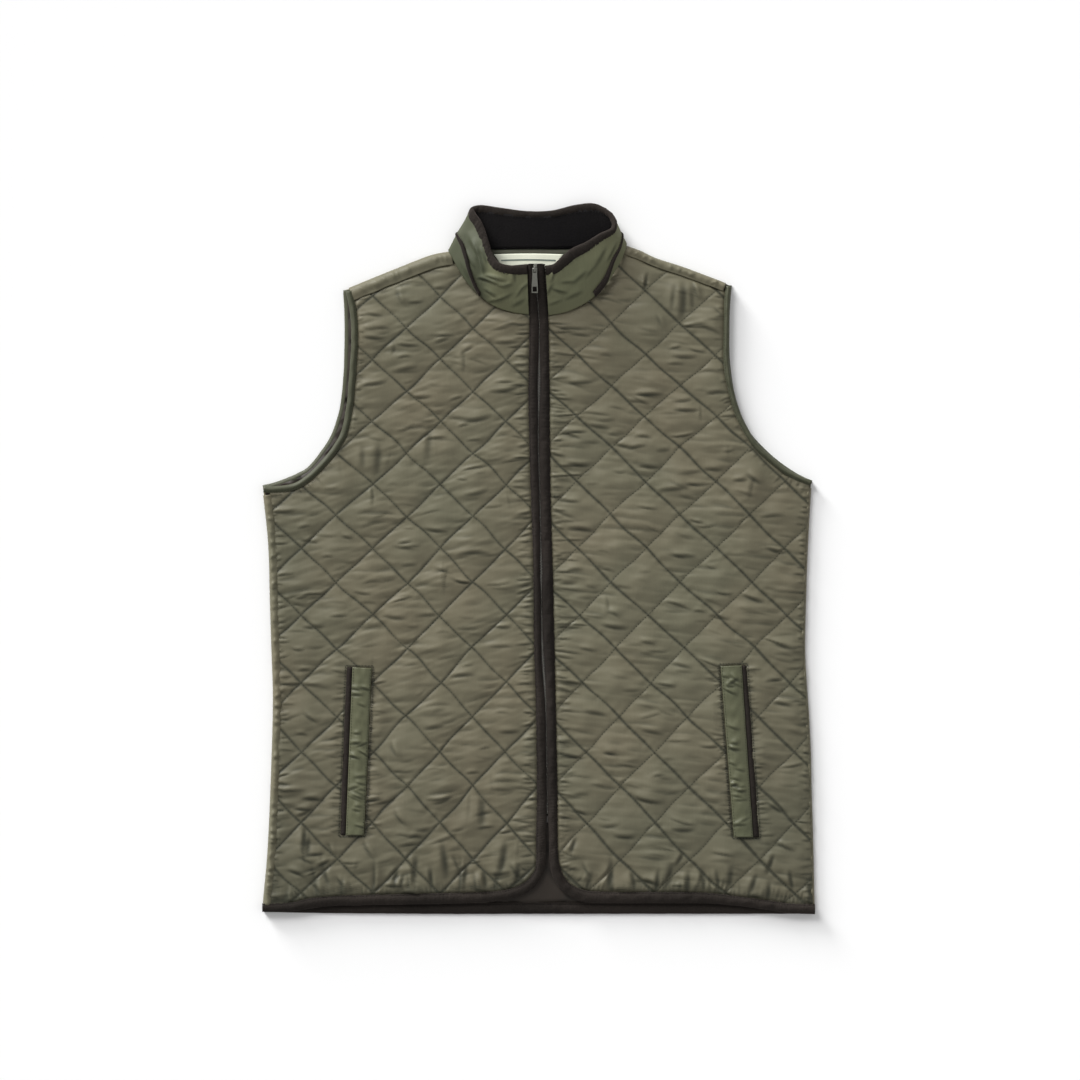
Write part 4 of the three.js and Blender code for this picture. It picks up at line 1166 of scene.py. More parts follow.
@dataclass
class QuiltedFront:
    """One quilted front: padded diamonds between lines of stitching, with its creases.

    Lengths are in millimetres. The lattice counts p and q, and its stitching runs where either
    is a whole number.
    """

    seams: Seams
    clothes: Wardrobe
    thread: Stitching
    steps: int = 35
    cluster: float = 0.3
    diamond: float = 49.0
    loft: float = 2.9
    loft_run: float = 11.5
    groove: float = 0.5
    groove_width: float = 1.5
    line_width: float = 1.35
    waver: float = 0.9
    edge_fade: float = 13.0
    tuck_run: float = 4.5
    loft_curve: float = 1.3
    pucker_run: float = 5.0
    pucker_depth: float = 0.22
    fine_depth: float = 0.24
    broad_depth: float = 0.3
    # Its edge beside the rolled sides, under the collar and elsewhere: where, and how full.
    rolled_x: float = 262.0
    rolled_y: float = 88.0
    collar_x: float = 92.0
    collar_y: float = 250.0
    hem_y: float = -330.0
    rolled_edge: float = 0.7
    collar_edge: float = 0.95
    tucked_edge: float = 0.3
    # How much darker it is in a fold or a hollow, by a pocket, at the sides, low down, at the hem.
    # Folds, hollows and the hem get painted shade; by a pocket it is a dark line.
    fold_dim: float = 0.92
    hollow_dim: float = 0.46
    frame_dim: float = 0.75
    side_dim: float = 0.16
    low_dim: float = 0.17
    hem_dim: float = 0.3
    p_range: tuple[int, int] = (-1, 14)
    q_range: tuple[int, int] = (-10, 5)

    def __post_init__(self) -> None:
        """Works out the outline and the creases."""
        self.side = self.seams.side
        self.outline = self.seams.front_outline()
        welt, lip = POCKET_WELT[self.side], POCKET_LIP[self.side]
        outer = [lip[0], welt[1], welt[2], lip[3]]
        if self.side is Side.RIGHT:
            outer = [welt[0], lip[1], lip[2], welt[3]]
        self.pocket = np.asarray(outer, float)
        self.creases = list(CREASES[self.side]) + self.scattered()

    def spot(self, p: Array, q: Array) -> tuple[Array, Array]:
        """Where a place in the lattice lies."""
        y = along(QUILT_ROWS[self.side], p - q)
        shift = QUILT_SHIFT[self.side] * (1 - smooth(y, QUILT_SHIFT_TO, QUILT_SHIFT_FROM))
        x = along(QUILT_COLUMNS[self.side], p + q) + shift
        seed = 241 + self.side.turn
        return x + self.waver * ripple(x, y, 70, seed), y + self.waver * ripple(x, y, 55, seed + 5)

    def scattered(self) -> list[tuple[float, ...]]:
        """Small creases: a few in each diamond, and short ones drawn in by the bound edges."""
        rng = np.random.default_rng(11 if self.side is Side.LEFT else 23)
        rows: list[tuple[float, ...]] = []
        lean = CREASE_LEAN[self.side]
        for p in range(*self.p_range):
            for q in range(*self.q_range):
                for _ in range(int(rng.integers(2, 6))):
                    up, vp, vq = rng.uniform(0.12, 0.88, 3)
                    x, y = self.spot(np.array(p + vp), np.array(q + vq))
                    upright = up > 0.84
                    heading = (90 if upright else lean) + rng.normal(0, 9)
                    rows.append((
                        float(x), float(y), heading, rng.uniform(7, 18), rng.uniform(1.2, 2.6),
                        mix(0.3, 1.3, rng.uniform() ** 1.8) * (0.7 if upright else 1),
                        rng.uniform(-2, 2),
                    ))
        rim = shifted(self.seams.side_edge, self.side.turn * SIDE_ROLL_SHOWN[self.side])
        turn = self.side.turn
        left, right = self.pocket[[0, 3]], self.pocket[[1, 2]]
        hem = self.seams.binding_panel[self.seams.binding_panel[:, 1] < -335]
        placket = self.seams.binding_panel[self.seams.binding_panel[:, 1] > -300]
        pulled = [
            (self.seams.binding_panel, -turn, 4.6, (5, 15), (0.35, 0.95)),
            (self.seams.armhole_seam, turn, 9, (4, 10), (0.35, 0.95)),
            (rim, turn, 8, (4, 12), (0.5, 1.2)), (spaced(left, 60), -1, 5, (4, 12), (0.4, 1.1)),
            (spaced(right, 60), 1, 5, (4, 12), (0.4, 1.1)),
            (hem, -turn, HEM_PITCH[self.side], (13, 25), (0.8, 1.8)),
            (placket, -turn, 11, (9, PLACKET_REACH[self.side]), (0.6, 1.5)),
        ]
        for line, inward, pitch, (short, long), (faint, deep) in pulled:
            total = run_length(line)
            even = spaced(line, int(total))
            heading = np.gradient(even, axis=0)
            walk = rng.uniform(0, pitch)
            while walk < total - 2:
                at = int(walk)
                aside = np.array([-heading[at, 1], heading[at, 0]]) * inward
                aside /= np.linalg.norm(aside)
                length = mix(short, long, rng.uniform() ** 2)
                x, y = even[at] + aside * length * 0.7
                angle = math.degrees(math.atan2(aside[1], aside[0]))
                angle = (angle + 90) % 180 - 90
                rows.append((
                    float(x), float(y), angle + rng.normal(lean * 0.5, 7), float(length),
                    mix(0.9, 1.6, rng.uniform()) * (1 + 1.4 * (deep > 1.7)),
                    rng.uniform(faint, deep), rng.uniform(-0.8, 0.8),
                ))
                walk += rng.uniform(0.6, 1.4) * pitch
        return rows

    def risen(self, off: Array) -> Array:
        """How far the padding has risen at a distance from a line of stitching."""
        return 1 - np.exp(-((off / self.loft_run) ** self.loft_curve))

    def height(self, p: Array, q: Array, x: Array, y: Array) -> Array:
        """How high the outer face stands, in millimetres from the floor."""
        off_p = np.abs(p - np.round(p)) * self.diamond
        off_q = np.abs(q - np.round(q)) * self.diamond
        swell = self.risen(off_p) * self.risen(off_q)
        near_x, near_y, to_edge = nearest_on(self.outline, x, y)
        _, _, to_pocket = nearest_on(self.pocket, x, y)
        in_pocket = inside(self.pocket, x, y)
        inward = np.where(in_pocket, 0, np.minimum(to_edge, to_pocket))
        full = mix(0.3, 1, smooth(inward, 0, self.edge_fade))
        rolled = (np.abs(near_x) > self.rolled_x) & (near_y < self.rolled_y)
        collared = (np.abs(near_x) < self.collar_x) & (near_y > self.collar_y)
        low = np.where(
            rolled, self.rolled_edge, np.where(collared, self.collar_edge, self.tucked_edge)
        )
        tucked = mix(low, 1, smooth(to_edge, 0, self.tuck_run)) * np.where(in_pocket, 0.6, 1)
        hold_p, hold_q = LINE_HOLD[self.side]

        def held(width: float) -> Array:
            """How firmly the stitching holds the cloth down, by its width."""
            return np.maximum(
                hold_p * np.exp(-((off_p / width) ** 2)), hold_q * np.exp(-((off_q / width) ** 2))
            )

        run = self.pucker_run
        pucker = np.exp(-off_p / run) * ripple(q * self.diamond, p * 3, 7, 5)
        pucker = pucker + np.exp(-off_q / run) * ripple(p * self.diamond, q * 3, 7, 9)
        lifted = smooth(np.minimum(off_p, off_q), 0, 3)
        creased, shade = creases(x, y, self.creases)
        kept = mix(0.15, 1, lifted) * (~in_pocket)
        creased = creased * kept
        uneven = (0.75 * ripple(x, y, 38, 3) + 0.25 * ripple(x, y, 16, 4)) * swell
        lean = STREAK_LEAN[self.side]
        fine = drawn(x, y, 8.5, lean, 201 + self.side.turn)
        broad = drawn(x, y, 15, lean, 211 + self.side.turn)
        patchy = smooth(ripple(x, y, 55, 221 + self.side.turn), -1.2, 1.1)
        here = mix(0.25, 1, patchy) * lifted * (~in_pocket)
        streaks = here * (self.fine_depth * fine + self.broad_depth * broad)
        # Dark lines along the quilting: the thread's own line, with painted shade in its groove.
        seam = held(self.line_width) * (0.85 + 0.15 * ripple(x, y, 30, 231))
        # Painted shade in the hollows of the fine streaks.
        hollow = smooth(-fine - 0.7 * broad, 0.4, 2.0) * here
        framed = self.frame_dim * np.exp(-(((to_pocket - 1.7) / 0.9) ** 2))
        # Darker towards the sides and low down, and painted shade in a band above the hem.
        outer = self.side_dim * smooth(np.abs(x), 180, 280) + self.low_dim * smooth(-y, 120, 330)
        outer = outer + self.hem_dim * (1 - smooth(to_edge, 1, 17)) * (near_y < self.hem_y)
        # Painted shade in the creases' folds, added to the rest.
        folded = self.fold_dim * shade * kept + self.hollow_dim * hollow + framed + outer
        self.shade = np.clip(seam + folded, 0, 1) * (~in_pocket)
        return (
            front_inside(x, y) + tucked * (
                STITCHED_THICKNESS + self.loft * swell * full * (~in_pocket)
                - self.groove * held(self.groove_width) + self.pucker_depth * pucker * full
                + creased + uneven + streaks
            )
        )

    def build(self) -> None:
        """Makes the front as a closed padded piece."""
        name = self.side.value
        mesh, p, q, x, y = lattice(
            f"quilted_front_{name}", (self.p_range, self.q_range), self.steps, self.outline,
            self.spot, self.cluster,
        )
        z = self.height(p, q, x, y)
        write_points(mesh, np.stack([x, y, z], axis=1) * MM)
        mark(mesh, self.shade)
        hemmed(mesh, front_inside)
        wear(
            f"quilted_front_{name}", mesh, self.clothes.shell, [f"front_panel_{name}"],
        )
        self.sew()

    def sew(self) -> None:
        """Sews along the quilting's lines."""
        for lines, across in ((range(*self.p_range), True), (range(*self.q_range), False)):
            span = self.q_range if across else self.p_range
            run = np.linspace(*span, (span[1] - span[0]) * 24)
            for line in lines:
                still = np.full(run.shape, float(line))
                p, q = (still, run) if across else (run, still)
                x, y = self.spot(p, q)
                held = inside(self.outline, x, y) & ~inside(self.pocket, x, y)
                z = self.height(p, q, x, y) + 0.1
                ends = np.flatnonzero(np.diff(np.concatenate([[0], held.astype(int), [0]])))
                for a, b in zip(ends[::2], ends[1::2]):
                    if b - a > 3:
                        self.thread.run(x[a:b], y[a:b], z[a:b])


@dataclass
class Strip:
    """A folded strip of cloth between two edges: bindings, rolls, welts and tapes.

    Args:
        near: One edge, x and y in millimetres.
        far: The other edge, with as many points.
        floor: What it lies on.
        height: How high its middle stands over that.
        near_share: Its height near the first edge over the height in the middle.
        far_share: The same at the other edge.
        around: Faces across its top.
        uneven: How much its height and edges vary, in millimetres.
        seed: Which unevenness.
        stitch_at: Where a seam sinks into it, as a share of its width.
        ribs: How high its fine ribs stand.
        rib_pitch: From one rib to the next.
        nip_pitch: From one nip of its first edge to the next.
        pitch: The length of its faces.
        rounded: The length of its rounded start.
        sunk: How deep the seam sinks.
        sunk_width: How wide it sinks.
    """

    name: str
    near: Array
    far: Array
    floor: Surface
    height: float
    near_share: float = 0.45
    far_share: float = 0.45
    around: int = 12
    uneven: float = 0.25
    seed: int = 1
    stitch_at: float | None = None
    ribs: float = 0.0
    rib_pitch: float = 3.4
    nip_pitch: float = 4.6
    pitch: float = 2.2
    rounded: float = 0.0
    sunk: float = 0.7
    sunk_width: float = 0.8

    def top(self, share: Array, v: Array) -> tuple[Array, Array, Array]:
        """A place on the outer face: share runs along the strip and v across it."""
        place = share * (len(self.near) - 1)
        near = [along(self.near[:, k], place) for k in (0, 1)]
        far = [along(self.far[:, k], place) for k in (0, 1)]
        width = np.hypot(far[0] - near[0], far[1] - near[1])
        sway = self.uneven * ripple(*near, 26, self.seed) / np.maximum(width, 1)
        bent = v + sway * np.sin(math.pi * v) + 0.4 * sway * (v > 0.99)
        length = run_length(self.near)
        if self.ribs:
            drift = 3 * ripple(*near, 21, self.seed + 11)
            nip = np.sin(TAU * share * length / self.nip_pitch + drift)
            bent = bent - 2.0 * self.ribs * nip * (1 - v) ** 3 / np.maximum(width, 1)
        if self.rounded:
            k = 1 - np.clip(share * length / self.rounded, 0, 1)
            bent = mix(bent, 0.5, 0.5 * (1 - np.sqrt(1 - np.minimum(k, 0.999) ** 2)))
        x, y = mix(near[0], far[0], bent), mix(near[1], far[1], bent)
        edge = mix(self.near_share, self.far_share, v)
        dome = mix(edge, 1, np.clip(np.sin(math.pi * v), 0, 1) ** 0.6)
        rough = self.uneven * ripple(x, y, 13, self.seed + 7)
        lift = self.height * dome + rough * np.sin(math.pi * v)
        if self.stitch_at is not None:
            off = (v - self.stitch_at) * width / self.sunk_width
            lift = lift - self.sunk * np.exp(-(off**2))
        if self.ribs:
            walk = share * length / self.rib_pitch
            wobble = 0.5 * ripple(*near, 17, self.seed + 3)
            lift = lift + self.ribs * np.sin(TAU * walk + 2 * wobble) * np.sin(math.pi * v) ** 0.5
        return x, y, self.floor(x, y) + lift

    def mesh(self) -> Mesh:
        """The strip as a closed mesh."""
        under = 3
        count = self.around + under
        columns = max(int(run_length(self.near) / self.pitch), 12)

        def place(u: Array, w: Array) -> Array:
            """Wraps the grid round the strip: over its top and back along its floor."""
            step = w * count
            v = (1 - np.cos(math.pi * np.clip(step / self.around, 0, 1))) / 2
            back = step > self.around + 0.5
            returning = np.clip((step - self.around - 1) / (under - 1), 0, 1)
            bx, by, _ = self.top(u, 1 - returning)
            over = np.stack(self.top(u, v), axis=1)
            below = np.stack([bx, by, self.floor(bx, by)], axis=1)
            start = np.stack(self.top(u, v * 0), axis=1)
            spots = np.where(back[:, None], below, over)
            return np.where((step > count - 0.5)[:, None], start, spots)

        return closed(placed_grid(self.name, columns, count, place))

    def dress(
        self, material: Material, node: str,
        tucks: Iterable[tuple[float, ...]] = (), share: float = 0.0,
    ) -> None:
        """Makes the strip and puts it on the vest.

        Args:
            material: Its finish.
            node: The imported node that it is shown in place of.
            tucks: Creases that shade it.
            share: How strongly they do.
        """
        mesh = self.mesh()
        if share:
            mark_tucks(mesh, tucks, share)
        wear(self.name, mesh, material, [node])

    def sew(self, thread: Stitching, v: float, lift: float = 0.1) -> None:
        """Sews along the strip at a share of its width."""
        share = np.linspace(0.002, 0.998, max(int(run_length(self.near) / 3), 8))
        x, y, z = self.top(share, np.full(share.shape, v))
        thread.run(x, y, z + lift)


@dataclass
class BoundEdges:
    """The bindings of the front edges, the armholes and the back hem."""

    seams: dict[Side, Seams]
    clothes: Wardrobe
    dark: Stitching
    olive: Stitching
    binding_height: float = 5.6
    armhole_height: float = 5.0
    stitch_in: float = 0.13

    def build(self) -> None:
        """Makes every binding."""
        brown, green = self.clothes.binding, self.clothes.armhole
        for side, lines in self.seams.items():
            name, turn = side.value, side.turn
            front = Strip(
                f"front_edge_binding_{name}", shifted(lines.binding_panel, -turn * 0.6),
                lines.binding_free, zip_floor, self.binding_height, seed=3 + turn,
                stitch_at=self.stitch_in, uneven=0.35, around=14, far_share=0.5, ribs=0.18,
                pitch=1.0, rounded=3.0,
            )
            front.dress(brown, f"front_binding_{name}")
            front.sew(self.dark, self.stitch_in, 0.15)
            arm = Strip(
                f"armhole_edge_front_{name}", shifted(lines.armhole_seam, turn * 0.5),
                lines.armhole_free, front_inside, self.armhole_height, seed=13 + turn,
                stitch_at=0.2, uneven=0.3,
            )
            arm.dress(green, f"armhole_binding_front_{name}")
            arm.sew(self.olive, 0.2, 0.15)
            Strip(
                f"armhole_edge_back_{name}",
                shifted(lines.armhole_back, turn * ARMHOLE_BACK_WIDTH), lines.armhole_back,
                flat_floor, BACK_EDGE_THICKNESS, seed=17 + turn, near_share=0.8, far_share=0.35,
                uneven=0.2,
            ).dress(green, f"armhole_binding_back_{name}")
        rows = np.asarray(BACK_HEM, float)
        rows[:, 1] += 1.6
        top, bottom = (spaced(spline(rows[:, [0, k]]), 200) for k in (1, 2))
        hem = Strip(
            "hem_edge_back", top, bottom, flat_floor, BACK_EDGE_THICKNESS, seed=29,
            near_share=1.0, far_share=0.35, stitch_at=0.2, uneven=0.3, around=14, ribs=0.14,
            pitch=1.1,
        )
        hem.dress(brown, "hem_binding_back")
        hem.sew(self.dark, 0.2, 0.15)


@dataclass
class Pocket:
    """A pocket's welt, its dark lip and the frame sewn round them."""

    side: Side
    clothes: Wardrobe
    thread: Stitching
    dark: Stitching
    welt_height: float = 5.6
    lip_height: float = 4.4
    frame_margin: tuple[float, float] = (1.8, 1.6)
    frame_lift: float = 1.6
    ticks: int = 78

    @staticmethod
    def edge_lines(corners: list[tuple[float, float]], steps: int = 90) -> list[Array]:
        """The left and right edges of a four-cornered piece, from its top down."""
        a, b, c, d = np.asarray(corners, float)
        return [spaced(np.array(ends), steps) for ends in ((a, d), (b, c))]

    def build(self) -> None:
        """Makes the welt, the lip and their stitching."""
        name, turn = self.side.value, self.side.turn
        left, right = self.edge_lines(POCKET_WELT[self.side])
        rng = np.random.default_rng(41 + turn)
        tucks = [
            (float(mix(left[k, 0], right[k, 0], s)), float(left[k, 1]), rng.normal(-6, 18),
             rng.uniform(5, 10), rng.uniform(1.3, 2.2), rng.uniform(0.7, 1.6), rng.uniform(-1, 1))
            for k, s in zip(rng.integers(4, 88, 22), rng.uniform(0.15, 0.85, 22))
        ]
        welt = Strip(
            f"pocket_welt_cloth_{name}", left, right, raised(tucks, front_inside),
            self.welt_height, 0.72, 0.72, around=20, uneven=0.3, seed=51 + turn, pitch=1.1,
        )
        welt.dress(self.clothes.welt, f"pocket_welt_{name}", tucks, 0.8)
        left, right = self.edge_lines(POCKET_LIP[self.side])
        bow = np.zeros(left.shape)
        bow[:, 0] = 0.4 + 0.5 * np.sin(np.linspace(0, math.pi, len(left)))
        if self.side is Side.LEFT:
            left, right = left - bow, right + 0.3
        else:
            left, right = left - 0.3, right + bow
        Strip(
            f"pocket_lip_cloth_{name}", left, right, front_inside, self.lip_height, 0.6, 0.6,
            around=8, uneven=0.2, seed=61 + turn,
        ).dress(self.clothes.binding, f"pocket_lip_{name}")
        for v in (0.06, 0.94):
            welt.sew(self.thread, v, 0.25)
        self.frame()

    def frame(self) -> None:
        """Sews the frame round the opening, and the ticks along its inner edge."""
        points = np.concatenate([POCKET_WELT[self.side], POCKET_LIP[self.side]]).astype(float)
        aside, above = self.frame_margin
        low, high = points[:, 1].min() - above, points[:, 1].max() + above
        upper = points[:, 1] > (low + high) / 2
        top, bottom = points[upper, 0], points[~upper, 0]
        turns = np.array([
            (top.min() - aside, high), (top.max() + aside, high),
            (bottom.max() + aside, low), (bottom.min() - aside, low),
        ])
        lift = STITCHED_THICKNESS + self.frame_lift
        for a, b in zip(turns, np.roll(turns, -1, axis=0)):
            x, y = spaced(np.array([a, b]), 60).T
            self.dark.run(x, y, front_inside(x, y) + lift)
        on_left = self.side is Side.LEFT
        inner = spaced(turns[[1, 2] if on_left else [0, 3]], self.ticks)
        toward = -1.0 if on_left else 1.0
        rng = np.random.default_rng(67 + self.side.turn)
        for x, y in inner[2:-2]:
            x_run = x - toward * (np.array([0.3, 4.0]) * rng.uniform(0.9, 1.2) - 1.2)
            y_run = np.array([y, y + rng.normal(0, 0.4)])
            self.dark.run(x_run, y_run, front_inside(x_run, y_run) + lift + 0.1)


@dataclass
class BackPanel:
    """The back: its outer cloth under the vest, its rolled edges and its brown lining."""

    seams: dict[Side, Seams]
    clothes: Wardrobe
    column: float = 35.5
    outer_steps: int = 12
    line_width: float = 2.0
    lining_steps: int = 7
    wrap_height: float = 10.0
    diamond: float = 49.0
    p_range: tuple[int, int] = (-5, 15)
    q_range: tuple[int, int] = (-15, 5)

    def spot(self, p: Array, q: Array) -> tuple[Array, Array]:
        """Where a place in the back's lattice lies."""
        return (p + q) * self.column, along(QUILT_ROWS[Side.LEFT], p - q)

    def outline(self, inset: float) -> Array:
        """The back's outline, drawn in by an inset."""
        left, right = self.seams[Side.LEFT], self.seams[Side.RIGHT]
        neck = np.asarray(BACK_NECK, float)
        return np.concatenate([
            shifted(left.side_edge, inset)[::-1],
            shifted(left.armhole_back, inset + 1)[::-1],
            shifted(left.shoulder_edge, -inset),
            neck - np.array([0, inset]),
            shifted(right.shoulder_edge, inset)[::-1],
            shifted(right.armhole_back, -inset - 1),
            shifted(right.side_edge, -inset),
        ])

    def cloth(self, name: str, steps: int, inset: float, level: Surface) -> Mesh:
        """One quilted cloth of the back.

        Args:
            name: The mesh's name.
            steps: Faces along one side of a diamond.
            inset: How far its edges are drawn in, in millimetres.
            level: Gives its height from its points and from how near its stitching is.

        Returns:
            The mesh, with painted shade and dark seam lines marked along its lines of stitching.
        """
        spans = (self.p_range, self.q_range)
        mesh, p, q, x, y = lattice(name, spans, steps, self.outline(inset), self.spot)
        off = np.minimum(np.abs(p - np.round(p)), np.abs(q - np.round(q))) * self.diamond
        near = np.exp(-((off / self.line_width) ** 2))
        # Painted shade, with the thread's own dark line, along the lines of stitching.
        mark(mesh, near)
        write_points(mesh, np.stack([x, y, level(x, y, near)], axis=1) * MM)
        return mesh

    def build(self) -> None:
        """Makes the outer cloth, the lining and the rolled edges."""
        mesh = self.cloth("back_outer", self.outer_steps, 1.0, lambda x, y, near: 1.9 * near)
        hemmed(mesh, lambda x, y: x * 0 + BACK_EDGE_THICKNESS - 1.2)
        wear("back_outer", mesh, self.clothes.shell, ["back_panel"])
        mesh = self.cloth(
            "back_lining", self.lining_steps, 3.0,
            lambda x, y, near: back_top(x, y) - 0.9 * near + 0.25 * ripple(x, y, 34, 71),
        )
        outline = self.outline(3.0)
        area = abs(float(np.cross(outline, np.roll(outline, -1, axis=0)).sum())) / 2 * MM * MM
        piece = wear("back_lining", thickened(mesh, 0.6), self.clothes.lining)
        self.rolls()

    def rolls(self) -> None:
        """Makes the rolled sides and the strips that wrap over the shoulders."""
        shell = self.clothes.shell
        for side, lines in self.seams.items():
            name, turn = side.value, side.turn
            rng = np.random.default_rng(81 + turn)
            tucks = [
                (float(lines.side_edge[k, 0] + turn * 5), float(lines.side_edge[k, 1]),
                 rng.normal(0, 14), rng.uniform(4, 8), rng.uniform(1.4, 2.6),
                 rng.uniform(0.5, 1.8), 0.0)
                for k in rng.integers(2, 118, 32)
            ]
            edge = lines.side_edge.copy()
            edge[-1, 1] -= 2.4
            Strip(
                f"side_roll_{name}", edge, shifted(edge, turn * (SIDE_ROLL_SHOWN[side] + 2.6)),
                raised(tucks), SIDE_ROLL_HEIGHT[side], 0.3, 0.75, around=14, uneven=0.5,
                seed=91 + turn, pitch=1.4,
            ).dress(shell, "back_panel", tucks, 0.3)
            middle = (lines.shoulder_edge + lines.shoulder_seam) / 2
            nips = [
                (float(middle[k, 0]), float(middle[k, 1]), rng.normal(-turn * 62, 14),
                 rng.uniform(3, 7), rng.uniform(1, 1.8), rng.uniform(0.4, 1.3), 0.0)
                for k in rng.integers(2, 46, 16)
            ]
            Strip(
                f"shoulder_strip_{name}", lines.shoulder_edge,
                shifted(lines.shoulder_seam, -turn * 1.2), raised(nips), self.wrap_height, 0.35,
                0.9, around=14, uneven=0.45, seed=97 + turn, pitch=1.4,
            ).dress(shell, "back_panel")


@dataclass
class Collar:
    """The standing collar: outer cloth, stand, piping, ribbed lining and brushed top binding."""

    clothes: Wardrobe
    olive: Stitching
    dark: Stitching
    per_section: int = 9
    height: float = 57.0
    shell: float = 2.3
    lining: float = 1.9
    bulge: float = 2.5
    binding_from: float = 0.84
    binding_out: float = 3.1
    binding_in: float = 2.3
    piped: tuple[int, int] = (3, 18)
    standing: tuple[float, float] = (3.15, 17.85)
    piping_width: float = 3.4

    @property
    def last(self) -> int:
        """The place of the last section."""
        return len(COLLAR) - 1

    def line(self, place: Array, first: int) -> Array:
        """A point on the neck seam (first 0) or the top edge (first 3), by centripetal spline."""
        p = np.asarray(COLLAR, float)[:, first:first + 3]
        p = np.concatenate([[2 * p[0] - p[1]], p, [2 * p[-1] - p[-2]]])
        place = np.asarray(place, float)
        i = np.clip(np.floor(place).astype(int), 0, self.last - 1)
        t = (place - i)[:, None]
        p0, p1, p2, p3 = p[i], p[i + 1], p[i + 2], p[i + 3]

        def gap(a: Array, b: Array) -> Array:
            """The square root of a distance."""
            return np.maximum(np.linalg.norm(b - a, axis=1), 1e-4)[:, None] ** 0.5

        d0, d1, d2 = gap(p0, p1), gap(p1, p2), gap(p2, p3)
        t1 = ((p1 - p0) / d0 - (p2 - p0) / (d0 + d1) + (p2 - p1) / d1) * d1
        t2 = ((p2 - p1) / d1 - (p3 - p1) / (d1 + d2) + (p3 - p2) / d2) * d1
        return (
            p1 + t1 * t + (-3 * p1 + 3 * p2 - 2 * t1 - t2) * t**2
            + (2 * p1 - 2 * p2 + t1 + t2) * t**3
        )

    def point(
        self, place: Array, rise: Array, outward: Array | float, crumple: float = 0.0
    ) -> Array:
        """A point of the collar's wall.

        Args:
            place: Counts the sections.
            rise: From the neck seam, 0, to the top edge, 1.
            outward: How far it stands outside the wall's middle, in millimetres.
            crumple: How strongly the cloth's crumples show.

        Returns:
            Rows of x, y and z in millimetres.
        """
        place = np.clip(np.asarray(place, float), 0, self.last)
        rise = np.broadcast_to(np.asarray(rise, float), place.shape)

        def middle(at: Array, up: Array) -> Array:
            """A point of the wall's middle surface."""
            return mix(self.line(at, 0), self.line(at, 3), up[:, None])

        step = 0.02
        low, high = np.maximum(place - step, 0), np.minimum(place + step, self.last)
        around = middle(high, rise) - middle(low, rise)
        upward = self.line(place, 3) - self.line(place, 0)
        normal = np.cross(upward, around)
        normal /= np.linalg.norm(normal, axis=1)[:, None] + 1e-12
        on_front = 1 - smooth(place, 4, 7) + smooth(place, 15, 18)
        swell = self.bulge * on_front * np.sin(math.pi * np.clip(rise, 0, 1))
        spot = middle(place, rise)
        lift = np.asarray(outward) + swell
        if crumple:
            creased, _ = creases(spot[:, 0], spot[:, 1], COLLAR_CREASES)
            soft = 0.5 * ripple(spot[:, 0], spot[:, 1], 30, 101)
            lift = lift + crumple * (creased + soft * np.sin(math.pi * rise))
        lifted = spot + normal * np.broadcast_to(lift, place.shape)[:, None]
        return np.maximum(lifted, (-math.inf, -math.inf, 0))

    def piping_rise(self, place: Array) -> Array:
        """How far up the wall the piping runs."""
        place = np.clip(place, 0, self.last)
        higher = 0.06 * np.exp(-(((place - 15.1) / 1.2) ** 2))
        return along([row[6] for row in COLLAR], place) + higher

    def wall(
        self, name: str, span: tuple[float, float], low: Surface, high: Surface,
        faces: tuple[float, float], rises: int, crumple: float = 0.0,
        relief: Surface | None = None, fine: float = 1.0,
    ) -> Mesh:
        """A closed wall of cloth that follows the collar.

        Args:
            name: The mesh's name.
            span: The first and last section.
            low: Its lower edge's rise.
            high: Its upper edge's rise.
            faces: How far its inner and outer face stand outwards.
            rises: Faces up the wall.
            crumple: How strongly crumples show on it.
            relief: Adds to the face that shows, by place and rise.
            fine: Times as many faces along the collar.

        Returns:
            The mesh.
        """
        columns = int((span[1] - span[0]) * self.per_section * fine)
        count = 2 * rises + 2
        showing_out = faces[1] > 0

        def place_point(u: Array, w: Array) -> Array:
            """Wraps the grid up the outer face and down the inner one."""
            place = mix(*span, u)
            step = np.round(w * count)
            outer = (step <= rises) | (step == count)
            climb = np.where(outer, step / rises, (2 * rises + 1 - step) / rises)
            climb = np.where(step == count, 0, climb)
            rise = mix(low(place), high(place), np.clip(climb, 0, 1))
            lift = np.where(outer, faces[1], faces[0])
            shows = outer if showing_out else ~outer
            if relief is not None:
                lift = lift + np.where(shows, relief(place, rise), 0)
            return self.point(place, rise, lift, crumple)

        mesh = closed(placed_grid(name, columns, count, place_point))
        if crumple:
            spots = read_points(mesh) / MM
            # Painted shade over the collar's left side and in its crumples.
            painted_left_shade = 0.9 * smooth(-spots[:, 0], 44, 62)
            _, shade = creases(spots[:, 0], spots[:, 1], COLLAR_CREASES)
            mark(mesh, np.clip(shade + painted_left_shade, 0, 1))
        return mesh

    def build(self) -> None:
        """Makes every piece of the collar."""
        half = self.piping_width / 2 / self.height
        gap = 0.4 / self.height

        def above_piping(place: Array) -> Array:
            """The outer cloth's lower edge."""
            piped = (place > self.piped[0]) & (place < self.piped[1])
            return np.where(piped, self.piping_rise(place) + half - gap, 0.0)

        def under_binding(place: Array) -> Array:
            """The upper edge of the outer cloth and of the lining."""
            return np.full(place.shape, self.binding_from + 0.03)

        shell = self.wall(
            "collar_outer", (0, self.last), above_piping, under_binding, (0.3, self.shell), 36, 1.0,
            fine=2.2,
        )
        piece = wear("collar_outer", shell, self.clothes.olive, ["collar_shell"])
        stand = self.wall(
            "collar_band", self.standing, lambda place: place * 0,
            lambda place: np.maximum(self.piping_rise(place) - half + gap, 0.01),
            (0.3, self.shell), 12, 0.6, fine=1.6,
        )
        piece = wear("collar_band", stand, self.clothes.olive, ["collar_stand"])

        def ribs(place: Array, rise: Array) -> Array:
            """The pile's upright ribs."""
            return -0.18 * np.sin(place * 26.0)

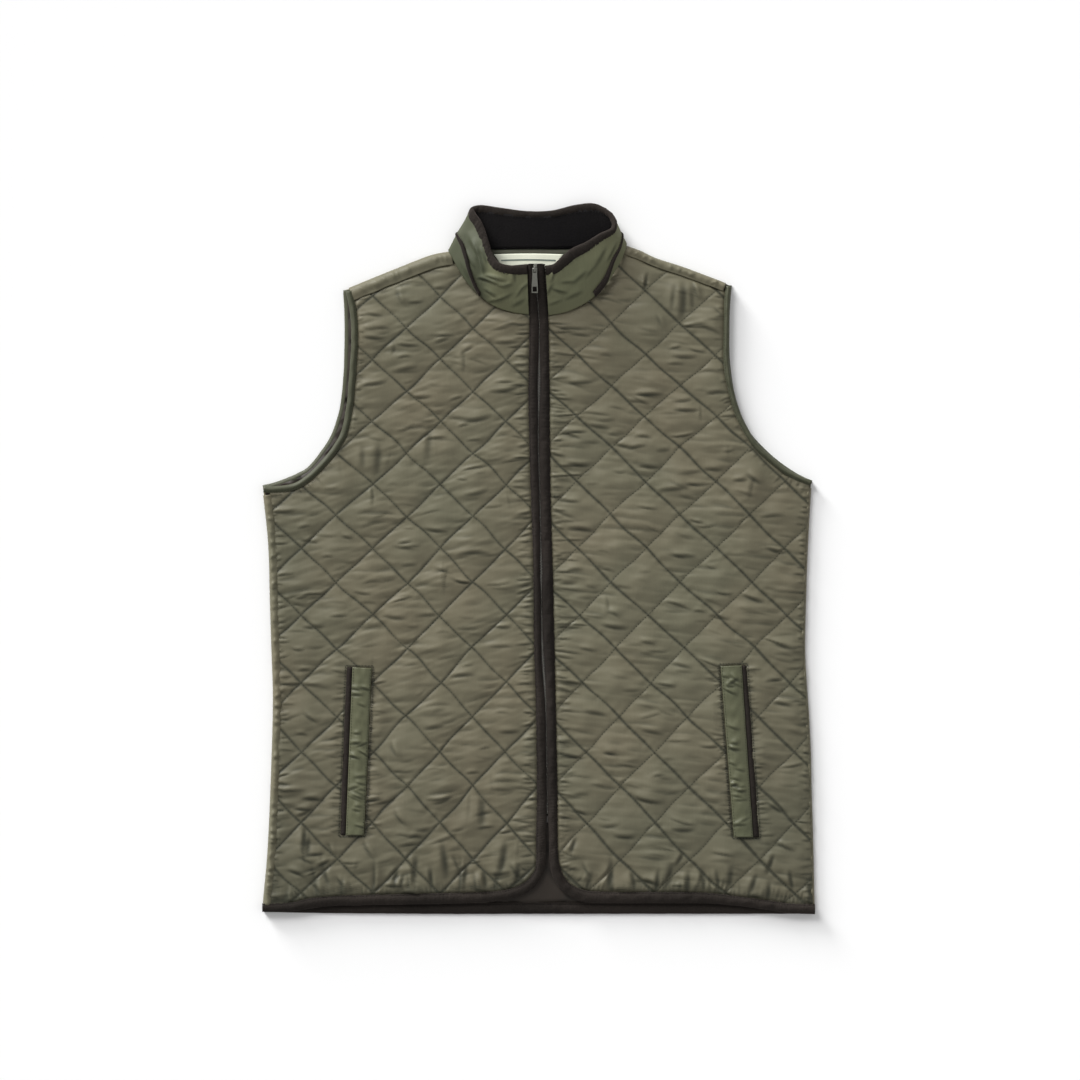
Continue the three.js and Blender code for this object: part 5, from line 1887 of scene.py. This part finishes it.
        lining = self.wall(
            "collar_ribbed_lining", (0, self.last), lambda place: place * 0, under_binding,
            (-self.lining, -0.4), 10, 0.0, ribs,
        )
        ribbed = self.clothes.ribbed
        piece = wear("collar_ribbed_lining", lining, ribbed, ["collar_lining"])
        self.piping()
        self.top_binding()
        self.seam_stitches()

    def piping(self) -> None:
        """Makes the dark piping as a round cord in its seam."""
        count = 10

        def place_point(u: Array, w: Array) -> Array:
            """Wraps the grid round the piping."""
            place = mix(self.piped[0] - 0.1, self.piped[1] + 0.1, u)
            turn = w * TAU
            thin = 1 - 0.5 * np.exp(-((place - 7.2) ** 2))
            thin = thin - 0.55 * np.exp(-(((place - 14) / 1.3) ** 2))
            thin = thin + 0.35 * np.exp(-((place - 17) ** 2))
            up = np.cos(turn) * thin * 3.3 / self.height
            rise = np.maximum(self.piping_rise(place), 0.0) + up
            return self.point(place, rise, self.shell + 1.0 * thin + np.sin(turn) * 2.0 * thin, 0.6)

        columns = int((self.piped[1] - self.piped[0]) * self.per_section)
        mesh = closed(placed_grid("collar_piping_cord", columns, count, place_point))
        wear("collar_piping_cord", mesh, self.clothes.binding, ["collar_piping"])

    def top_binding(self) -> None:
        """Makes the brushed binding over the collar's top edge."""
        count = 16

        def place_point(u: Array, w: Array) -> Array:
            """Wraps the grid over the edge: up outside, over, down inside and back."""
            place = u * self.last
            turn = w * TAU
            across = mix(-self.binding_in, self.binding_out, (1 - np.cos(turn)) / 2)
            up = np.sin(turn)
            middle = self.binding_from + 0.065
            rise = middle + np.sign(up) * np.abs(up) ** 0.55 * 0.095
            spot = (place * 20, np.cos(turn) * 3)
            uneven = 0.3 * ripple(*spot, 9, 113) + 0.25 * ripple(*spot, 4.5, 119)
            rise = rise - 0.008 * ripple(*spot, 5, 117) * np.clip(-up, 0, 1)
            outward = across + uneven * np.abs(np.cos(turn))
            return self.point(place, np.minimum(rise, 1.01), outward)

        mesh = closed(placed_grid("collar_top_binding", self.last * 12, count, place_point))
        binding = self.clothes.binding
        wear("collar_top_binding", mesh, binding, ["collar_binding"])

    def seam_stitches(self) -> None:
        """Sews under the top binding, inside and outside, and beside the piping."""
        place = np.linspace(0.1, self.last - 0.1, 220)
        for outward, rise, thread in (
            (-self.lining - 0.35, self.binding_from - 0.015, self.dark),
            (self.shell + 0.25, self.binding_from - 0.012, self.dark),
        ):
            spots = self.point(place, np.full(place.shape, rise), outward)
            thread.run(*spots.T)
        place = np.linspace(self.piped[0] + 0.3, self.piped[1] - 0.3, 160)
        rise = self.piping_rise(place) + 0.06
        self.olive.run(*self.point(place, rise, self.shell + 0.2, 1.0).T)


@dataclass
class NeckInside:
    """What shows inside the neck: the olive facing and the bare label on it."""

    clothes: Wardrobe
    facing: Box = (-60, 50, 326.6, 300)
    label: Box = (-47, 26, 319.8, 304.5)

    def layer(
        self, name: str, box: Box, lift: float, thickness: float, taper: float
    ) -> Mesh:
        """A flat sheet that lies on the back.

        Args:
            name: The mesh's name.
            box: Left, right, top and bottom, in millimetres.
            lift: How far over the back its face lies.
            thickness: Of its wall.
            taper: How much narrower each side is at the bottom.

        Returns:
            The mesh.
        """
        left, right, top, bottom = box

        def place(u: Array, v: Array) -> Array:
            """Lays the grid on the back."""
            y = mix(bottom, top, v) + 0.8 * np.sin(math.pi * u) - 0.8
            x = mix(left, right, u) + taper * (1 - v) * (1 - 2 * u)
            wave = 0.12 * ripple(x, y, 30, 131)
            tucked = 1.2 * smooth(y, 321.5, 324.5)
            return np.stack([x, y, back_top(x, y) + lift + wave - tucked], axis=1)

        return thickened(placed_grid(name, 60, 14, place), thickness)

    def build(self) -> None:
        """Makes the facing, the label and the label's plain stripe."""
        clothes = self.clothes
        mesh = self.layer("neck_facing_cloth", self.facing, 1.4, 0.9, 0)
        piece = wear("neck_facing_cloth", mesh, clothes.facing, ["neck_facing"])
        self.size(self.facing)
        left, right, top, _ = self.label
        mesh = self.layer("label_tape", self.label, 2.5, 0.6, 11)
        label = wear("label_tape", mesh, clothes.label, ["label_bare"])
        bar = (left + 8, right - 8, top - 5.6, top - 7.2)
        mesh = self.layer("label_plain_stripe", bar, 2.75, 0.5, 0)
        stripe = wear("label_plain_stripe", mesh, clothes.stripe)
        self.size(self.label)

    @staticmethod
    def size(box: Box) -> tuple[float, float]:
        """A box's width and height in metres."""
        left, right, top, bottom = box
        return (right - left) * MM, (top - bottom) * MM


@dataclass
class Zip:
    """The zip: its tape, its teeth, the slider, the box at its foot and the turning pull tab."""

    seams: dict[Side, Seams]
    clothes: Wardrobe
    tape_width: float = 6.0
    tape_thickness: float = 1.2
    tooth_pitch: float = 2.8
    tooth: Spot = (2.6, 0.9, 1.1)
    tab_length: float = 27.0
    tab_wide: float = 6.6
    tab_narrow: float = 5.0
    tab_thickness: float = 1.6
    slot_size: tuple[float, float] = (3.6, 5.6)
    slot_from_end: float = 1.6
    arm_size: tuple[float, float] = (1.2, 5.4)
    foot_size: Spot = (5.6, 6.8, 2.2)
    pin_radius: float = 0.8

    def middle(self) -> Array:
        """The line that the teeth run along, from the collar's top down."""
        lines = [s.binding_free for s in self.seams.values()]
        lines = [line[(line[:, 1] > ZIP_END_Y) & (line[:, 0] < 60)] for line in lines]
        count = min(len(line) for line in lines)
        return spaced((lines[0][:count] + lines[1][:count]) / 2, 300)

    def on_slope(self, mesh: Mesh) -> None:
        """Puts a mesh made about the hinge into the collar's slope."""
        turn = Euler((ZIP_SLOPE, 0, 0)).to_matrix().to_4x4()
        mesh.transform(Matrix.Translation(Vector(HINGE) * MM) @ turn @ Matrix.Scale(MM, 4))

    @staticmethod
    def block(bm: BMesh, centre: Spot, size: Spot, round_by: float, segments: int = 3) -> None:
        """Adds a block with rounded edges to a bmesh."""
        place = Matrix.Translation(centre) @ Matrix.Diagonal((*size, 1))
        made = bmesh.ops.create_cube(bm, size=1.0, matrix=place)
        edges = list({e for v in made["verts"] for e in v.link_edges})
        bevelled(bm, edges, round_by, segments)

    def build(self) -> None:
        """Makes the tape, the teeth, the slider, the box and the tab."""
        line = self.middle()
        half = np.array([self.tape_width / 2, 0])
        Strip(
            "zip_tape", line - half, line + half, zip_floor, self.tape_thickness, 0.8, 0.8,
            around=6, uneven=0.05,
        ).dress(self.clothes.dark_thread, "zip_chain")
        self.teeth(line)
        slider = bpy.data.meshes.new("zip_slider_body")
        with shaping(slider) as bm:
            for centre, size, round_by in SLIDER_BLOCKS:
                self.block(bm, centre, size, round_by)
        self.on_slope(slider)
        wear("zip_slider_body", slider, self.clothes.metal, ["zip_slider"])
        x, y = line[-1] - np.array([0, 3.8])
        foot = bpy.data.meshes.new("zip_foot_box")
        with shaping(foot) as bm:
            self.block(bm, (x, y, self.level(x, y) + 1.2), self.foot_size, 0.5)
        foot.transform(Matrix.Scale(MM, 4))
        wear("zip_foot_box", foot, self.clothes.dark_metal, ["zip_box"])
        self.tab()

    @staticmethod
    def level(x: float, y: float) -> float:
        """The height of the floor under the zip at one place."""
        return float(zip_floor(np.array([x]), np.array([y]))[0])

    def teeth(self, line: Array) -> None:
        """Sets the meshing teeth along the tape."""
        spots = spaced(line, int(run_length(line) / (self.tooth_pitch / 2)))
        lift = self.tape_thickness + 0.35
        places = [
            Matrix.Translation((x + (0.75 if k % 2 else -0.75), y, self.level(x, y) + lift))
            for k, (x, y) in enumerate(spots[4:-2])
        ]
        mesh = gathered(
            "zip_teeth", places,
            lambda bm, place: self.block(bm, tuple(place.translation), self.tooth, 0.22, 1),
        )
        mesh.transform(Matrix.Scale(MM, 4))
        wear("zip_teeth", mesh, self.clothes.tooth)

    def tab(self) -> None:
        """Makes the pull tab: a tapering plate with a slot, on two arms and a pin."""
        mesh = bpy.data.meshes.new("zip_pull_tab")
        start, end = -4.1, -self.tab_length
        slot_wide, slot_long = (size / 2 for size in self.slot_size)
        slot_y = end + self.slot_from_end + slot_long

        def in_slot(spot: Vector) -> bool:
            """Whether a place lies in the slot."""
            return abs(spot.y - slot_y) < slot_long and abs(spot.x) < slot_wide

        with shaping(mesh) as bm:
            bmesh.ops.create_grid(bm, x_segments=6, y_segments=16, size=0.5)
            for vert in bm.verts:
                y = mix(end, start, vert.co.y + 0.5)
                wide = mix(self.tab_wide, self.tab_narrow, smooth(y, end + 4, start))
                vert.co = Vector((vert.co.x * wide, y, self.tab_thickness / 2))
            slot = [f for f in bm.faces if in_slot(f.calc_center_median())]
            bmesh.ops.delete(bm, geom=slot, context="FACES")
            bm.normal_update()
            bmesh.ops.solidify(bm, geom=list(bm.faces), thickness=self.tab_thickness)
            bmesh.ops.recalc_face_normals(bm, faces=bm.faces)
            sharp = [e for e in bm.edges if e.calc_face_angle(0.0) > math.radians(50)]
            bevelled(bm, sharp, 0.28, 2)
            arm_x = (self.tab_narrow - self.arm_size[0]) / 2 + 0.1
            for x in (-arm_x, arm_x):
                self.block(bm, (x, -1.9, 0), (*self.arm_size, self.tab_thickness), 0.3)
            bmesh.ops.create_cone(
                bm, segments=20, radius1=self.pin_radius, radius2=self.pin_radius,
                depth=self.tab_narrow, cap_ends=True, matrix=Matrix.Rotation(math.pi / 2, 4, "Y"),
            )
        self.on_slope(mesh)
        metal = self.clothes.metal
        wear("zip_pull_tab", mesh, metal, ["pull_tab"], Body.PULL_TAB)


@dataclass
class Studio:
    """The pale floor, the soft lights and the camera that looks straight down."""

    centre: tuple[float, float] = (1.6, 19.4)
    view_width: float = 1134.0
    lens: float = 200.0
    sensor: float = 36.0
    key_power: float = 1.79
    key_softness: float = math.radians(26)
    key_from: Spot = (-1.35, 2.1, 1.85)
    rake_power: float = 3.6
    rake_softness: float = math.radians(20)
    rake_from: Spot = (-1.4, 1.85, 0.52)
    fill_power: float = 6.0
    fill_from: Spot = (1.8, -0.6, 2.6)
    sky: float = 0.46

    def build(self) -> None:
        """Sets the floor, the lights and the camera."""
        mesh = bpy.data.meshes.new("studio_floor")
        with shaping(mesh) as bm:
            bmesh.ops.create_grid(bm, x_segments=2, y_segments=2, size=6.0)
        floor = bpy.data.objects.new("studio_floor", mesh)
        bpy.context.scene.collection.objects.link(floor)
        floor.location.z = -0.0002
        white, _, _ = start_material(
            "studio_white", Base_Color=(0.93, 0.93, 0.93, 1), Roughness=0.9,
            Specular_IOR_Level=0.1,
        )
        mesh.materials.append(white)
        floor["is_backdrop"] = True

        self.light("SUN", "key", self.key_from, self.key_power, angle=self.key_softness)
        self.light("SUN", "rake", self.rake_from, self.rake_power, angle=self.rake_softness)
        self.light("AREA", "fill", self.fill_from, self.fill_power, shape="SQUARE", size=2.6)
        world = bpy.data.worlds.new("studio_air")
        world.use_nodes = True
        air = world.node_tree.nodes["Background"].inputs
        air["Color"].default_value = (1, 1, 1, 1)
        air["Strength"].default_value = self.sky
        bpy.context.scene.world = world

        data = bpy.data.cameras.new("camera")
        data.lens, data.sensor_width = self.lens, self.sensor
        data.clip_start, data.clip_end = 0.1, 30.0
        camera = bpy.data.objects.new("camera", data)
        distance = self.view_width * self.lens / self.sensor
        camera.location = Vector((*self.centre, distance)) * MM
        bpy.context.scene.collection.objects.link(camera)
        bpy.context.scene.camera = camera
        settings = bpy.context.scene.view_settings
        settings.view_transform, settings.look = "Standard", "None"
        settings.exposure, settings.gamma = 0.0, 1.0

    @staticmethod
    def light(kind: str, name: str, spot: Spot, power: float, **values: object) -> None:
        """Sets a soft light that looks at the vest's middle.

        Args:
            kind: Of light, in Blender's words.
            name: The light's name.
            spot: Where it stands, in metres, or for a distant light the way that it comes from.
            power: In Blender's units.
            values: Its other properties.
        """
        data = bpy.data.lights.new(name, kind)
        data.energy = power
        for key, value in values.items():
            setattr(data, key, value)
        light = bpy.data.objects.new(name, data)
        light.location = spot
        light.rotation_mode = "QUATERNION"
        light.rotation_quaternion = (-Vector(spot)).to_track_quat("-Z", "Y")
        bpy.context.scene.collection.objects.link(light)


def corners(box: tuple[Vector, Vector]) -> list[list[float]]:
    """A box's corners as plain lists of numbers."""
    return [[float(x) for x in corner] for corner in box]


def main() -> None:
    """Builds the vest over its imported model."""
    logging.basicConfig(level=logging.INFO, format="%(name)s: %(message)s")
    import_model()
    cad_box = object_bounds()
    clothes = Wardrobe()
    quilting = Stitching("quilting_stitches", clothes.thread)
    olive = Stitching("olive_stitches", clothes.thread, length=2.2, gap=0.8, radius=0.22)
    dark = Stitching("dark_stitches", clothes.dark_thread, length=2.2, gap=0.8, radius=0.24)
    seams = {side: Seams(side) for side in Side}
    for side in Side:
        QuiltedFront(seams[side], clothes, quilting).build()
        Pocket(side, clothes, olive, dark).build()
    BackPanel(seams, clothes).build()
    BoundEdges(seams, clothes, dark, olive).build()
    Collar(clothes, olive, dark).build()
    NeckInside(clothes).build()
    Zip(seams, clothes).build()
    for thread in (quilting, olive, dark):
        thread.make()
    Studio().build()
    {"cad": corners(cad_box), "visual": corners(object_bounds())}


if __name__ == "__main__":
    main()
